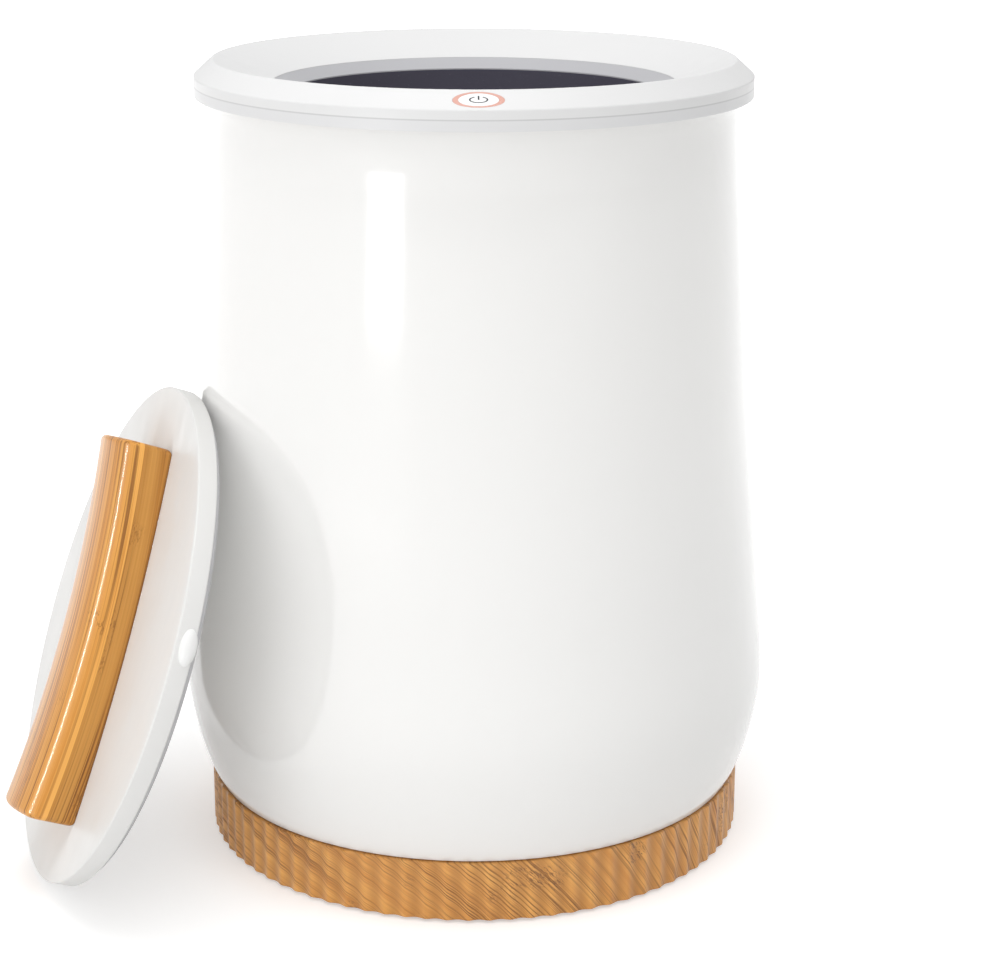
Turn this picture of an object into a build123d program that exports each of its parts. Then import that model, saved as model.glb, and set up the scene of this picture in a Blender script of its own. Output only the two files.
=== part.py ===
from build123d import *
import math
import os

# Towel warmer bucket with its lid taken off and leaned against its side.
# Millimetres, +Z up. The origin is on the bucket's axis at floor level, and -Y is the front.

# ------------------------------------------------------------------ driving dimensions

# Rim
overall_height = 408.5        # floor to the rim's highest edge
crown_radius = 131.0          # circle of the rim's highest edge
bevel_run = 9.2               # outer bevel of the rim, measured outwards
bevel_drop = 8.3              # outer bevel of the rim, measured downwards
band_height = 9.8             # upright outer band of the rim
bezel_band_height = 4.6       # share of the band that belongs to the upper ring
mouth_radius = 101.6          # lower edge of the funnel
funnel_drop = 12.7            # crown to the funnel's lower edge
rim_wall = 2.6
lip_run = 6.6                 # sloping grey lip between funnel and chamber
lip_drop = 5.2
lip_edge = 0.6                # upright lower edge of the lip

# Heated chamber
chamber_wall = 1.5
chamber_taper = 6.0           # how much narrower the floor is than the mouth, on the radius
chamber_floor_height = 63.0   # underside of the chamber above the floor of the room
chamber_corner = 16.0
chamber_flange_width = 11.0
chamber_flange_thickness = 1.5

# Heating and insulation around the chamber
heater_bottom = 100.0
heater_top = 300.0
heater_thickness = 1.6
insulation_thickness = 8.0
pad_thickness = 10.0
thermostat_radius = 8.0
thermostat_rim = 1.5          # its cap stands this far beyond its body
thermostat_cap_height = 4.5
thermostat_height = 10.0
thermostat_tab = (4.8, 7.0, 0.8)
thermostat_tab_reach = 9.5
pad_cutout_width = 28.0
pad_cutout_margin = 8.0
thermostat_reach = 14.0       # thermostat and fuse from the chamber's axis
fuse_radius = 2.2
fuse_length = 14.0
fuse_wire_radius = 0.5
fuse_wire_length = 4.0
fuse_holder_width = 9.0
fuse_holder_margin = 1.0
bracket_reach = 32.0
bracket_width = 12.0
bracket_thickness = 1.0
bracket_nut_height = 3.2
stud_radius = 2.0
stud_length = 15.5

# Outer shell
shell_wall = 2.6
neck_inset = 6.0              # neck radius under the rim, inside the band
neck_drop = 30.0              # straight flank ends this far below the band
belly_overhang = 10.9         # belly beyond the base ring
belly_height = 96.0
belly_round_height = 52.0
belly_lower_inset = 8.2       # lower point of the belly's curve, inside the belly
belly_lower_rise = 10.5       # and above the seat
belly_upper_inset = 1.2       # upper point of the belly's curve
belly_upper_rise = 38.0
belly_wall_share = 0.93       # the wall leans at the lower point, so its inset is less there
neck_swell = 0.4              # middle point of the neck's flare
neck_swell_share = 0.73
shell_lip_inset = 2.3         # top edge of the shell, inside the band
shell_seat_inset = 2.2        # lower edge of the shell, inside the base ring
shell_flange_width = 30.0
shell_flange_thickness = 3.0

# Bamboo base ring
base_radius = 141.8
base_ring_top = 32.5
base_ring_wall = 13.0
flute_count = 84
flute_depth = 1.3
ring_edge_chamfer = 0.8
ring_lift = 1.5               # ring and base plate stand clear of the floor on the foot ring
shadow_gap = 0.5              # thin gap between shell and ring

# Base plate and foot ring
plate_floor = 3.0
plate_wall = 2.6
plate_ring_gap = 0.5          # base plate inside the bamboo ring
plate_lip_width = 5.0
foot_width = 14.0
foot_inset = 1.5              # depth of the groove that holds the foot ring
boss_radius = 5.6
screw_circle_inset = 9.5      # base screws inside the plate's wall
base_screw_count = 6
base_screw_radius = 2.0
base_screw_reach = 14.0       # thread inside the shell's bosses
screw_head_radius = 3.6
screw_head_height = 3.0
screw_recess = 2.0            # head below the foot groove

cord_hole_radius = 3.5        # the gland's bore for the mains cord
gland_radius = 6.5
gland_flange_radius = 9.5
gland_flange_thickness = 2.2
gland_flange_round = 0.8
gland_thread_end = 1.0        # thread beyond the nut
gland_nut_thickness = 4.5
gland_nut_margin = 3.0
vent_count = 5
vent_pitch = 9.0
vent_length = 42.0
vent_width = 3.2

# Power board and wiring
board_length = 92.0
board_width = 62.0
power_board_thickness = 1.6
board_corner = 3.0
board_hole_inset = 5.0
standoff_height = 8.0
standoff_radius = 3.5
relay_size = (15.5, 19.0, 15.2)
relay_place = (-28.0, 4.0)
capacitor_size = (18.0, 8.5, 14.0)
capacitor_place = (-4.0, 14.0)
component_round = 0.8
terminal_size = (12.0, 30.0, 12.0)
terminal_screw_radius = 2.0
terminal_screw_depth = 1.5
terminal_screw_inset = 7.0
socket_depth = 7.0
socket_margin = 3.0
board_screw_radius = 1.4
terminal_face = 43.0
lead_places = (-7.0, 7.0)
lead_height = 21.0
lead_radius = 1.1
lead_bend = 9.0
lead_entry = 4.0
lead_wall_gap = 0.25
ribbon_height = 19.0          # where the control ribbon enters its socket
clip_heights = (150.0, 240.0, 330.0)
clip_size = 10.0

# Lid
lid_side_gap = 2.0            # lid edge inside the crown
lid_band_height = 9.6
lid_wall = 2.4
dish_depth = 5.4
dish_margin = 2.2             # flat edge around the dish
liner_depth = 6.0
liner_wall = 1.8
liner_slope_run = 9.0
liner_slope_thinning = 0.6    # the sloping wall measured across, against the floor's
liner_screw_inset = 13.4      # liner screws inside the edge of the liner's floor
lid_edge_round = 0.8
liner_screw_count = 4
liner_screw_radius = 1.3
liner_screw_reach = 6.0
liner_boss_radius = 3.5
seat_boss_radius = 5.0
gasket_width = 3.2
gasket_height = 2.6
gasket_edge = 0.5             # flat liner on each side of the gasket
foam_edge_gap = 2.0           # lid insulation inside the liner's floor
foam_boss_gap = 1.0
lid_tilt = 20.0               # lean from upright, in degrees
lid_azimuth = 197.0           # side of the bucket that the lid leans on, in degrees
lid_rest_gap = 1.8            # lid edge to shell, so that the liner and gasket are what comes nearest
bumper_length = 19.0
bumper_width = 9.2
bumper_sink = 1.7             # middle of the bumper below the band's surface
bumper_rise = 3.1
bumper_angle = 85.8           # from the handle's upper end, around the lid, in degrees

# Handle
handle_length = 194.0
handle_width = 58.0
handle_side_height = 14.0     # flat side at the middle of the handle
handle_bow = 6.2              # its ends stand this much further from the lid than its middle
handle_edge_round = 8.0
handle_crown_slope = 18.0     # the crowned top where it meets the rounded edges, in degrees
handle_turn = -12.5           # from the steepest line of the leaning lid, in degrees
handle_end_round = 3.0
handle_end_spare = 5.0        # turned this far beyond each end before it is cut to length
handle_screw_reach = 62.0     # screws from the middle of the handle
insert_radius = 3.2
insert_length = 9.0
handle_screw_radius = 2.0
handle_seat_rise = 1.0        # seat of the handle's screws below the cover's underside

# Power button on the front of the bevel
button_ring_width = 23.5
button_ring_height = 9.0
button_cap_width = 18.3
button_cap_height = 7.4
button_travel = 0.8
button_clearance = 0.1
housing_plate = 1.4
cap_flange = 1.0
cap_neck_inset = (1.7, 1.1)   # the cap's neck inside its face, along and across the button
neck_clearance = 0.4
board_thickness = 1.0
board_margin = 1.0
board_round = 1.0
switch_height = 2.0
switch_size = 6.2
switch_round = 0.6
switch_floor = 0.3
switch_headroom = 1.4         # pressed cap above the switch
plunger_radius = 1.5
plunger_stub = 1.2            # the cap's own part of the plunger
plunger_spare = 0.4
led_size = 2.0
led_width = 1.6
led_places = (-9.0, -6.2, 6.2, 9.0)
housing_width = 32.0
housing_height = 8.6
post_reach = 12.8             # board posts from the middle of the button
post_radius = 1.9
post_screw_reach = 3.3
post_hole_spare = 0.5
board_pin_radius = 0.8
symbol_width = 8.7
symbol_height = 3.8
symbol_line = 0.75
symbol_flat_line = 0.45       # the ring's line at its top and bottom
symbol_gap = 3.65             # opening of the ring at its top
symbol_bar = 2.36
symbol_bar_rise = 1.064
symbol_inlay = 0.3

# Joints inside the rim
collar_wall = 2.5
collar_chamber_gap = 0.5
mouth_ring_foot = 1.5
mouth_ring_lap = 3.0          # foot of the mouth ring beyond the bezel's skirt
crown_round = 1.2
band_round = 1.0
rim_screw_inset = 11.0        # rim screws inside the crown
rim_screw_count = 6
rim_screw_radius = 1.4
rim_screw_reach = 8.0
rim_boss_radius = 4.0

# Control ribbon between the two boards
ribbon_width = 8.0
ribbon_thickness = 0.9
ribbon_chamber_gap = 14.0     # its upright run outside the chamber's mouth
ribbon_notch = 3.0
ribbon_side_room = 2.0
ribbon_face_room = 1.5
ribbon_exit = 2.0             # above the middle of the control board
ribbon_stub = 5.0
ribbon_bend = 2.5

# Fits
seat_gap = 0.3                # soft or curved parts that rest against each other
seat_clearance = 0.1          # fixed hard parts that lie in each other
screw_clearance = 0.1
running_clearance = 0.05
screw_spare = 0.5             # depth of a blind screw hole beyond its screw
small_head_ratio = 2.0        # radius and height of small screw heads, in thread radii
small_head_height = 1.0

# ------------------------------------------------------------------ derived sizes

band_radius = crown_radius + bevel_run
band_top = overall_height - bevel_drop
rim_seam = band_top - bezel_band_height
band_bottom = band_top - band_height
mouth_height = overall_height - funnel_drop
lip_bottom_height = mouth_height - lip_drop
chamber_radius = mouth_radius - lip_run
chamber_flange_top = lip_bottom_height - lip_edge
chamber_flange_bottom = chamber_flange_top - chamber_flange_thickness
neck_radius = band_radius - neck_inset
neck_height = band_bottom - neck_drop
rim_screw_circle = crown_radius - rim_screw_inset
ribbon_radius = chamber_radius + ribbon_chamber_gap
ribbon_opening = ribbon_width + 2 * ribbon_side_room
belly_radius = base_radius + belly_overhang
seat_height = base_ring_top + shadow_gap
plate_outer_radius = base_radius - base_ring_wall - plate_ring_gap
plate_inner_radius = plate_outer_radius - plate_wall
plate_bottom = ring_lift
plate_top = plate_bottom + plate_floor
screw_circle = plate_inner_radius - screw_circle_inset
groove_top = plate_bottom + foot_inset
screw_head_top = groove_top + screw_recess + screw_head_height
collar_deck_top = chamber_flange_bottom
collar_spigot_radius = neck_radius - shell_wall - 0.6

os.makedirs("parts", exist_ok=True)


def save(piece, name):
    piece.part.label = name
    export_step(piece.part, f"parts/{name}.step")


def circles_at(piece, height, radius):
    """Circular edges of a turned piece at one height and radius."""
    level = piece.edges().filter_by(GeomType.CIRCLE).filter_by_position(
        Axis.Z, height - 0.05, height + 0.05
    )
    return level.filter_by(lambda edge: abs(edge.radius - radius) < 0.05)


def inset_path(points, distance):
    """The open path, moved to its right-hand side by the distance, with mitred corners."""
    moved = []
    for index, point in enumerate(points):
        before = points[max(index - 1, 0)]
        after = points[min(index + 1, len(points) - 1)]
        first = (Vector(*point) - Vector(*before)) if index else None
        second = (Vector(*after) - Vector(*point)) if index < len(points) - 1 else None
        first = (first or second).normalized()
        second = (second or first).normalized()
        bisector = (first + second).normalized()
        right = Vector(bisector.Y, -bisector.X)
        stretch = distance / max(bisector.dot(first), 0.2)
        moved.append((point[0] + right.X * stretch, point[1] + right.Y * stretch))
    return moved


def wall_outline(points, thickness):
    """Closed outline of a wall whose outer face follows the points."""
    return list(points) + inset_path(points, thickness)[::-1]


# ------------------------------------------------------------------ outer shell

shell_seat_radius = base_radius - shell_seat_inset
shell_top_radius = band_radius - shell_lip_inset
flank_start = belly_height + belly_round_height
flank_slope = (neck_radius - belly_radius, neck_height - belly_height)
flange_inner_radius = shell_seat_radius - shell_flange_width


def flank_radius(height):
    """Outer radius of the straight, slightly tapered flank."""
    share = (height - belly_height) / (neck_height - belly_height)
    return belly_radius + share * (neck_radius - belly_radius)


def shell_outline(inset):
    """Path from the seat on the ring up to the top edge, inset from the outer face."""
    with BuildLine() as outline:
        belly = Spline(
            (shell_seat_radius - inset, seat_height),
            (
                belly_radius - belly_lower_inset - inset * belly_wall_share,
                seat_height + belly_lower_rise,
            ),
            (belly_radius - belly_upper_inset - inset, seat_height + belly_upper_rise),
            (flank_radius(flank_start) - inset, flank_start),
            tangents=[(1, 1.5), flank_slope],
        )
        flank = Line(belly @ 1, (flank_radius(neck_height) - inset, neck_height))
        Spline(
            flank @ 1,
            (neck_radius + neck_swell - inset, neck_height + neck_swell_share * neck_drop),
            (shell_top_radius - inset, band_bottom),
            tangents=[flank_slope, (1, 1)],
        )
    return outline.line


with BuildPart() as outer_shell:
    with BuildSketch(Plane.XZ):
        with BuildLine():
            add(shell_outline(0))
            add(shell_outline(shell_wall))
            Line((shell_seat_radius, seat_height), (shell_seat_radius - shell_wall, seat_height))
            Line((shell_top_radius, band_bottom), (shell_top_radius - shell_wall, band_bottom))
        make_face()
    revolve(axis=Axis.Z)
    # flange that stands on the base plate, with the bosses that the base screws reach
    with BuildSketch(Plane.XY.offset(seat_height)):
        Circle(shell_seat_radius - shell_wall / 2)
        Circle(flange_inner_radius, mode=Mode.SUBTRACT)
    extrude(amount=shell_flange_thickness)
    with BuildSketch(Plane.XY.offset(seat_height)):
        with PolarLocations(screw_circle, base_screw_count):
            Circle(boss_radius)
    extrude(amount=base_screw_reach + shell_flange_thickness)
    with BuildSketch(Plane.XY.offset(seat_height)):
        with PolarLocations(screw_circle, base_screw_count):
            Circle(base_screw_radius + running_clearance)
    extrude(amount=base_screw_reach + 1, mode=Mode.SUBTRACT)
    # notch that lets the control ribbon past
    with BuildSketch(Plane.XY.offset(seat_height - 1)):
        with Locations((0, -flange_inner_radius)):
            Rectangle(ribbon_opening, 2 * ribbon_notch)
    extrude(amount=shell_flange_thickness + 2, mode=Mode.SUBTRACT)
save(outer_shell, "outer_shell")


# ------------------------------------------------------------------ rim

collar_shelf_top = band_bottom + collar_wall
collar_riser_radius = collar_spigot_radius - collar_wall
collar_inner_radius = chamber_radius + chamber_wall + collar_chamber_gap
skirt_bottom = chamber_flange_top + mouth_ring_foot + seat_clearance
bezel_face = [
    (mouth_radius, skirt_bottom),
    (mouth_radius, mouth_height),
    (crown_radius, overall_height),
    (band_radius, band_top),
    (band_radius, rim_seam),
]

with BuildPart() as rim_collar:
    with BuildSketch(Plane.XZ):
        Polygon(
            (collar_inner_radius, collar_deck_top - collar_wall),
            (collar_spigot_radius, collar_deck_top - collar_wall),
            (collar_spigot_radius, band_bottom),
            (band_radius, band_bottom),
            (band_radius, rim_seam),
            (band_radius - rim_wall, rim_seam),
            (band_radius - rim_wall, collar_shelf_top),
            (collar_riser_radius, collar_shelf_top),
            (collar_riser_radius, collar_deck_top),
            (collar_inner_radius, collar_deck_top),
            align=None,
        )
    revolve(axis=Axis.Z)
    with BuildSketch(Plane.XY.offset(collar_deck_top)):
        with PolarLocations(rim_screw_circle, rim_screw_count):
            Circle(rim_screw_radius + screw_clearance)
        with Locations((0, -ribbon_radius)):
            Rectangle(ribbon_opening, ribbon_thickness + 2 * ribbon_face_room)
    extrude(amount=-collar_wall, mode=Mode.SUBTRACT)
save(rim_collar, "rim_collar")

bevel_length = math.hypot(bevel_run, bevel_drop)
bevel_middle = (crown_radius + bevel_run / 2, overall_height - bevel_drop / 2)
button_plane = Plane(
    origin=(0, -bevel_middle[0], bevel_middle[1]),
    x_dir=(1, 0, 0),
    z_dir=(0, -bevel_drop / bevel_length, bevel_run / bevel_length),
)

with BuildPart() as rim_bezel:
    # bosses first, trimmed to the funnel's slope, then the wall over them
    with BuildSketch(Plane.XY.offset(collar_deck_top)):
        with PolarLocations(rim_screw_circle, rim_screw_count):
            Circle(rim_boss_radius)
    extrude(amount=overall_height - collar_deck_top)
    with BuildSketch(Plane.XZ):
        Polygon(
            (mouth_radius, mouth_height - rim_wall / 2),
            (crown_radius, overall_height - rim_wall / 2),
            (crown_radius, overall_height + 10),
            (mouth_radius, overall_height + 10),
            align=None,
        )
    revolve(axis=Axis.Z, mode=Mode.SUBTRACT)
    with BuildSketch(Plane.XZ):
        Polygon(*wall_outline(bezel_face, rim_wall), align=None)
    revolve(axis=Axis.Z)
    fillet(circles_at(rim_bezel, overall_height, crown_radius), crown_round)
    fillet(circles_at(rim_bezel, band_top, band_radius), band_round)
    with BuildSketch(Plane.XY.offset(collar_deck_top)):
        with PolarLocations(rim_screw_circle, rim_screw_count):
            Circle(rim_screw_radius + running_clearance)
    extrude(amount=rim_screw_reach + 1, mode=Mode.SUBTRACT)
    with BuildSketch(button_plane):
        Ellipse(button_ring_width / 2 + button_clearance, button_ring_height / 2 + button_clearance)
    extrude(amount=2 * rim_wall, both=True, mode=Mode.SUBTRACT)
save(rim_bezel, "rim_bezel")

with BuildPart() as mouth_ring:
    with BuildSketch(Plane.XZ):
        Polygon(
            (chamber_radius, chamber_flange_top),
            (chamber_radius, lip_bottom_height),
            (mouth_radius - seat_clearance, mouth_height - seat_clearance),
            (mouth_radius - seat_clearance, chamber_flange_top + mouth_ring_foot),
            (mouth_radius + rim_wall + mouth_ring_lap, chamber_flange_top + mouth_ring_foot),
            (mouth_radius + rim_wall + mouth_ring_lap, chamber_flange_top),
            align=None,
        )
    revolve(axis=Axis.Z)
save(mouth_ring, "mouth_ring")

with BuildPart() as rim_screws:
    with BuildSketch(Plane.XY.offset(collar_deck_top - collar_wall)):
        with PolarLocations(rim_screw_circle, rim_screw_count):
            Circle(small_head_ratio * rim_screw_radius)
    extrude(amount=-small_head_height * rim_screw_radius)
    with BuildSketch(Plane.XY.offset(collar_deck_top - collar_wall)):
        with PolarLocations(rim_screw_circle, rim_screw_count):
            Circle(rim_screw_radius)
    extrude(amount=collar_wall + rim_screw_reach)
save(rim_screws, "rim_screws")


# ------------------------------------------------------------------ power button

button_x_radius = button_cap_width / 2
button_y_radius = button_cap_height / 2
cap_depth = rim_wall - button_travel - button_clearance
housing_depth = rim_wall + housing_plate
flange_depth = housing_depth + button_clearance + cap_flange
switch_top_depth = flange_depth + button_travel + switch_headroom
board_depth = switch_top_depth + switch_height
plunger_depth = flange_depth + plunger_stub
neck_x_radius = button_x_radius - cap_neck_inset[0]
neck_y_radius = button_y_radius - cap_neck_inset[1]

with BuildPart() as under_bevel:
    # everything below the bevel's conical face, used to trim what lies flush with it
    with BuildSketch(Plane.XZ):
        Polygon(
            (crown_radius - bevel_run, overall_height + bevel_drop),
            (band_radius + bevel_run, band_top - bevel_drop),
            (band_radius + bevel_run, chamber_flange_bottom),
            (crown_radius - bevel_run, chamber_flange_bottom),
            align=None,
        )
    revolve(axis=Axis.Z)

with BuildPart() as light_ring:
    with BuildSketch(button_plane.offset(-rim_wall)):
        Ellipse(button_ring_width / 2, button_ring_height / 2)
        Ellipse(
            button_x_radius + button_clearance,
            button_y_radius + button_clearance,
            mode=Mode.SUBTRACT,
        )
    extrude(amount=rim_wall + 1)
    add(under_bevel.part, mode=Mode.INTERSECT)
save(light_ring, "light_ring")

with BuildSketch(button_plane.offset(2)) as power_sign:
    # a generic power symbol: an open ring with a bar in its gap
    Ellipse(symbol_width / 2, symbol_height / 2)
    Ellipse(
        symbol_width / 2 - symbol_line,
        symbol_height / 2 - symbol_flat_line,
        mode=Mode.SUBTRACT,
    )
    with Locations((0, symbol_height / 2)):
        Rectangle(symbol_gap, 2 * symbol_bar_rise, mode=Mode.SUBTRACT)
    with Locations((0, symbol_bar_rise)):
        Rectangle(symbol_line, symbol_bar)

with BuildPart() as symbol_bed:
    # shell of the bevel's outermost skin, as thick as the symbol's inlay
    with BuildSketch(Plane.XZ):
        Polygon(
            *wall_outline(
                [
                    (crown_radius - bevel_run, overall_height + bevel_drop),
                    (band_radius + bevel_run, band_top - bevel_drop),
                ],
                symbol_inlay,
            ),
            align=None,
        )
    revolve(axis=Axis.Z)

with BuildPart() as power_symbol:
    extrude(power_sign.sketch, amount=-6, dir=button_plane.z_dir)
    add(symbol_bed.part, mode=Mode.INTERSECT)
save(power_symbol, "power_symbol")

with BuildPart() as button_cap:
    with BuildSketch(button_plane.offset(-cap_depth)):
        Ellipse(button_x_radius, button_y_radius)
    extrude(amount=cap_depth + 1)
    add(under_bevel.part, mode=Mode.INTERSECT)
    with BuildSketch(button_plane.offset(-cap_depth)):
        Ellipse(neck_x_radius, neck_y_radius)
    extrude(amount=-(flange_depth - cap_depth))
    with BuildSketch(button_plane.offset(-flange_depth)):
        Ellipse(button_x_radius, button_y_radius)
    extrude(amount=cap_flange)
    with BuildSketch(button_plane.offset(-flange_depth)):
        Circle(plunger_radius)
    extrude(amount=-(plunger_depth - flange_depth))
    add(power_symbol.part, mode=Mode.SUBTRACT)
save(button_cap, "button_cap")

with BuildPart() as button_housing:
    with BuildSketch(button_plane.offset(-housing_depth)):
        SlotOverall(housing_width, housing_height)
        Ellipse(neck_x_radius + neck_clearance, neck_y_radius + neck_clearance, mode=Mode.SUBTRACT)
    extrude(amount=housing_plate)
    add(rim_bezel.part, mode=Mode.SUBTRACT)
    with BuildSketch(button_plane.offset(-housing_depth)):
        with Locations((-post_reach, 0), (post_reach, 0)):
            Circle(post_radius)
    extrude(amount=-(board_depth - housing_depth))
    with BuildSketch(button_plane.offset(-board_depth)):
        with Locations((-post_reach, 0), (post_reach, 0)):
            Circle(board_pin_radius + running_clearance)
    extrude(amount=post_screw_reach + post_hole_spare, mode=Mode.SUBTRACT)
save(button_housing, "button_housing")

with BuildPart() as control_board:
    with BuildSketch(button_plane.offset(-board_depth)):
        RectangleRounded(housing_width - 2 * board_margin, housing_height - seat_clearance, board_round)
        with Locations((-post_reach, 0), (post_reach, 0)):
            Circle(board_pin_radius + screw_clearance, mode=Mode.SUBTRACT)
    extrude(amount=-board_thickness)
save(control_board, "control_board")

with BuildPart() as control_board_screws:
    with BuildSketch(button_plane.offset(-board_depth - board_thickness)):
        with Locations((-post_reach, 0), (post_reach, 0)):
            Circle(small_head_ratio * board_pin_radius)
    extrude(amount=-small_head_height * board_pin_radius)
    with BuildSketch(button_plane.offset(-board_depth - board_thickness)):
        with Locations((-post_reach, 0), (post_reach, 0)):
            Circle(board_pin_radius)
    extrude(amount=board_thickness + post_screw_reach)
save(control_board_screws, "control_board_screws")

with BuildPart() as tact_switch:
    with BuildSketch(button_plane.offset(-board_depth)):
        RectangleRounded(switch_size, switch_size, switch_round)
    extrude(amount=switch_height)
    with BuildSketch(button_plane.offset(-switch_top_depth)):
        Circle(plunger_radius + running_clearance)
    extrude(amount=-(switch_height - switch_floor), mode=Mode.SUBTRACT)
save(tact_switch, "tact_switch")

with BuildPart() as switch_plunger:
    with BuildSketch(button_plane.offset(-plunger_depth)):
        Circle(plunger_radius)
    extrude(amount=-(board_depth - plunger_depth - button_travel - plunger_spare))
save(switch_plunger, "switch_plunger")

with BuildPart() as indicator_leds:
    with BuildSketch(button_plane.offset(-board_depth)):
        with Locations(*[(led_x, 0) for led_x in led_places]):
            Rectangle(led_size, led_width)
    extrude(amount=led_size / 2)
save(indicator_leds, "indicator_leds")


# ------------------------------------------------------------------ heated chamber

floor_radius = chamber_radius - chamber_taper
chamber_top = chamber_flange_top


def chamber_outer_radius(height):
    """Outer radius of the tapered chamber wall."""
    share = (height - chamber_floor_height) / (chamber_top - chamber_floor_height)
    return floor_radius + chamber_wall + share * chamber_taper


with BuildPart() as inner_bucket:
    with BuildSketch(Plane.XZ):
        with BuildLine():
            outer = FilletPolyline(
                (0, chamber_floor_height),
                (floor_radius + chamber_wall, chamber_floor_height),
                (chamber_outer_radius(chamber_flange_bottom), chamber_flange_bottom),
                radius=chamber_corner + chamber_wall,
            )
            Line(outer @ 1, (chamber_radius + chamber_flange_width, chamber_flange_bottom))
            Line(
                (chamber_radius + chamber_flange_width, chamber_flange_bottom),
                (chamber_radius + chamber_flange_width, chamber_flange_top),
            )
            Line(
                (chamber_radius + chamber_flange_width, chamber_flange_top),
                (chamber_radius, chamber_flange_top),
            )
            inner = FilletPolyline(
                (chamber_radius, chamber_flange_top),
                (floor_radius, chamber_floor_height + chamber_wall),
                (0, chamber_floor_height + chamber_wall),
                radius=chamber_corner,
            )
            Line(inner @ 1, outer @ 0)
        make_face()
    revolve(axis=Axis.Z)
    # welded studs that hold the sensor bracket under the floor
    with BuildSketch(Plane.XY.offset(chamber_floor_height)):
        with Locations((-bracket_reach, 0), (bracket_reach, 0)):
            Circle(stud_radius)
    extrude(amount=-stud_length)
save(inner_bucket, "inner_bucket")


def heater_face_radius(height):
    """Inner radius of the heating band, which hugs the chamber."""
    return chamber_outer_radius(height) + running_clearance


with BuildPart() as heating_band:
    with BuildSketch(Plane.XZ):
        Polygon(
            (heater_face_radius(heater_bottom), heater_bottom),
            (heater_face_radius(heater_bottom) + heater_thickness, heater_bottom),
            (heater_face_radius(heater_top) + heater_thickness, heater_top),
            (heater_face_radius(heater_top), heater_top),
            align=None,
        )
    revolve(axis=Axis.Z)
save(heating_band, "heating_band")

sleeve_bottom = heater_bottom + 4
sleeve_top = collar_deck_top - collar_wall - seat_gap
sleeve_gap = running_clearance + heater_thickness + seat_gap

with BuildPart() as insulation_sleeve:
    with BuildSketch(Plane.XZ):
        Polygon(
            (chamber_outer_radius(sleeve_bottom) + sleeve_gap, sleeve_bottom),
            (chamber_outer_radius(sleeve_bottom) + sleeve_gap + insulation_thickness, sleeve_bottom),
            (chamber_outer_radius(sleeve_top) + sleeve_gap + insulation_thickness, sleeve_top),
            (chamber_outer_radius(sleeve_top) + sleeve_gap, sleeve_top),
            align=None,
        )
    revolve(axis=Axis.Z)
save(insulation_sleeve, "insulation_sleeve")

pad_top = chamber_floor_height - seat_gap
bracket_top = chamber_floor_height - thermostat_height

with BuildPart() as insulation_pad:
    with BuildSketch(Plane.XY.offset(pad_top)):
        Circle(floor_radius - chamber_corner)
        Rectangle(
            2 * (bracket_reach + pad_cutout_margin),
            pad_cutout_width,
            mode=Mode.SUBTRACT,
        )
    extrude(amount=-pad_thickness)
save(insulation_pad, "insulation_pad")

with BuildPart() as thermostat:
    with BuildSketch(Plane.XY.offset(chamber_floor_height)):
        with Locations((-thermostat_reach, 0)):
            Circle(thermostat_radius)
    extrude(amount=-thermostat_cap_height)
    with BuildSketch(Plane.XY.offset(chamber_floor_height)):
        with Locations((-thermostat_reach, 0)):
            Circle(thermostat_radius - thermostat_rim)
    extrude(amount=-thermostat_height)
    with BuildSketch(Plane.XY.offset(chamber_floor_height - 0.75 * thermostat_height)):
        with Locations(
            (-thermostat_reach, -thermostat_tab_reach),
            (-thermostat_reach, thermostat_tab_reach),
        ):
            Rectangle(thermostat_tab[0], thermostat_tab[1])
    extrude(amount=thermostat_tab[2])
save(thermostat, "thermostat")

with BuildPart() as fuse_holder:
    with BuildSketch(Plane.XY.offset(bracket_top)):
        with Locations((thermostat_reach, 0)):
            Rectangle(fuse_length + 2 * fuse_holder_margin, fuse_holder_width)
    extrude(amount=thermostat_height)
    with BuildSketch(Plane.YZ):
        with Locations((0, chamber_floor_height - thermostat_height / 2)):
            Circle(fuse_radius + running_clearance)
    extrude(amount=2 * bracket_reach, mode=Mode.SUBTRACT)
save(fuse_holder, "fuse_holder")

with BuildPart() as thermal_fuse:
    with BuildSketch(Plane.YZ.offset(thermostat_reach - fuse_length / 2)):
        with Locations((0, chamber_floor_height - thermostat_height / 2)):
            Circle(fuse_radius)
    extrude(amount=fuse_length)
    with BuildSketch(Plane.YZ.offset(thermostat_reach - fuse_length / 2 - fuse_wire_length)):
        with Locations((0, chamber_floor_height - thermostat_height / 2)):
            Circle(fuse_wire_radius)
    extrude(amount=fuse_length + 2 * fuse_wire_length)
save(thermal_fuse, "thermal_fuse")

with BuildPart() as sensor_bracket:
    with BuildSketch(Plane.XY.offset(bracket_top)):
        SlotCenterToCenter(2 * bracket_reach, bracket_width)
        with Locations((-bracket_reach, 0), (bracket_reach, 0)):
            Circle(stud_radius + screw_clearance, mode=Mode.SUBTRACT)
    extrude(amount=-bracket_thickness)
save(sensor_bracket, "sensor_bracket")

with BuildPart() as bracket_nuts:
    with BuildSketch(Plane.XY.offset(bracket_top - bracket_thickness)):
        with Locations((-bracket_reach, 0), (bracket_reach, 0)):
            RegularPolygon(2 * stud_radius, 6)
            Circle(stud_radius + running_clearance, mode=Mode.SUBTRACT)
    extrude(amount=-bracket_nut_height)
save(bracket_nuts, "bracket_nuts")


# ------------------------------------------------------------------ base

ring_inner_radius = base_radius - base_ring_wall
gland_height = (plate_bottom + base_ring_top) / 2
gland_hole_radius = gland_radius + screw_clearance
flute_step = 360 / flute_count
flute_valley = base_radius - flute_depth

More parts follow.
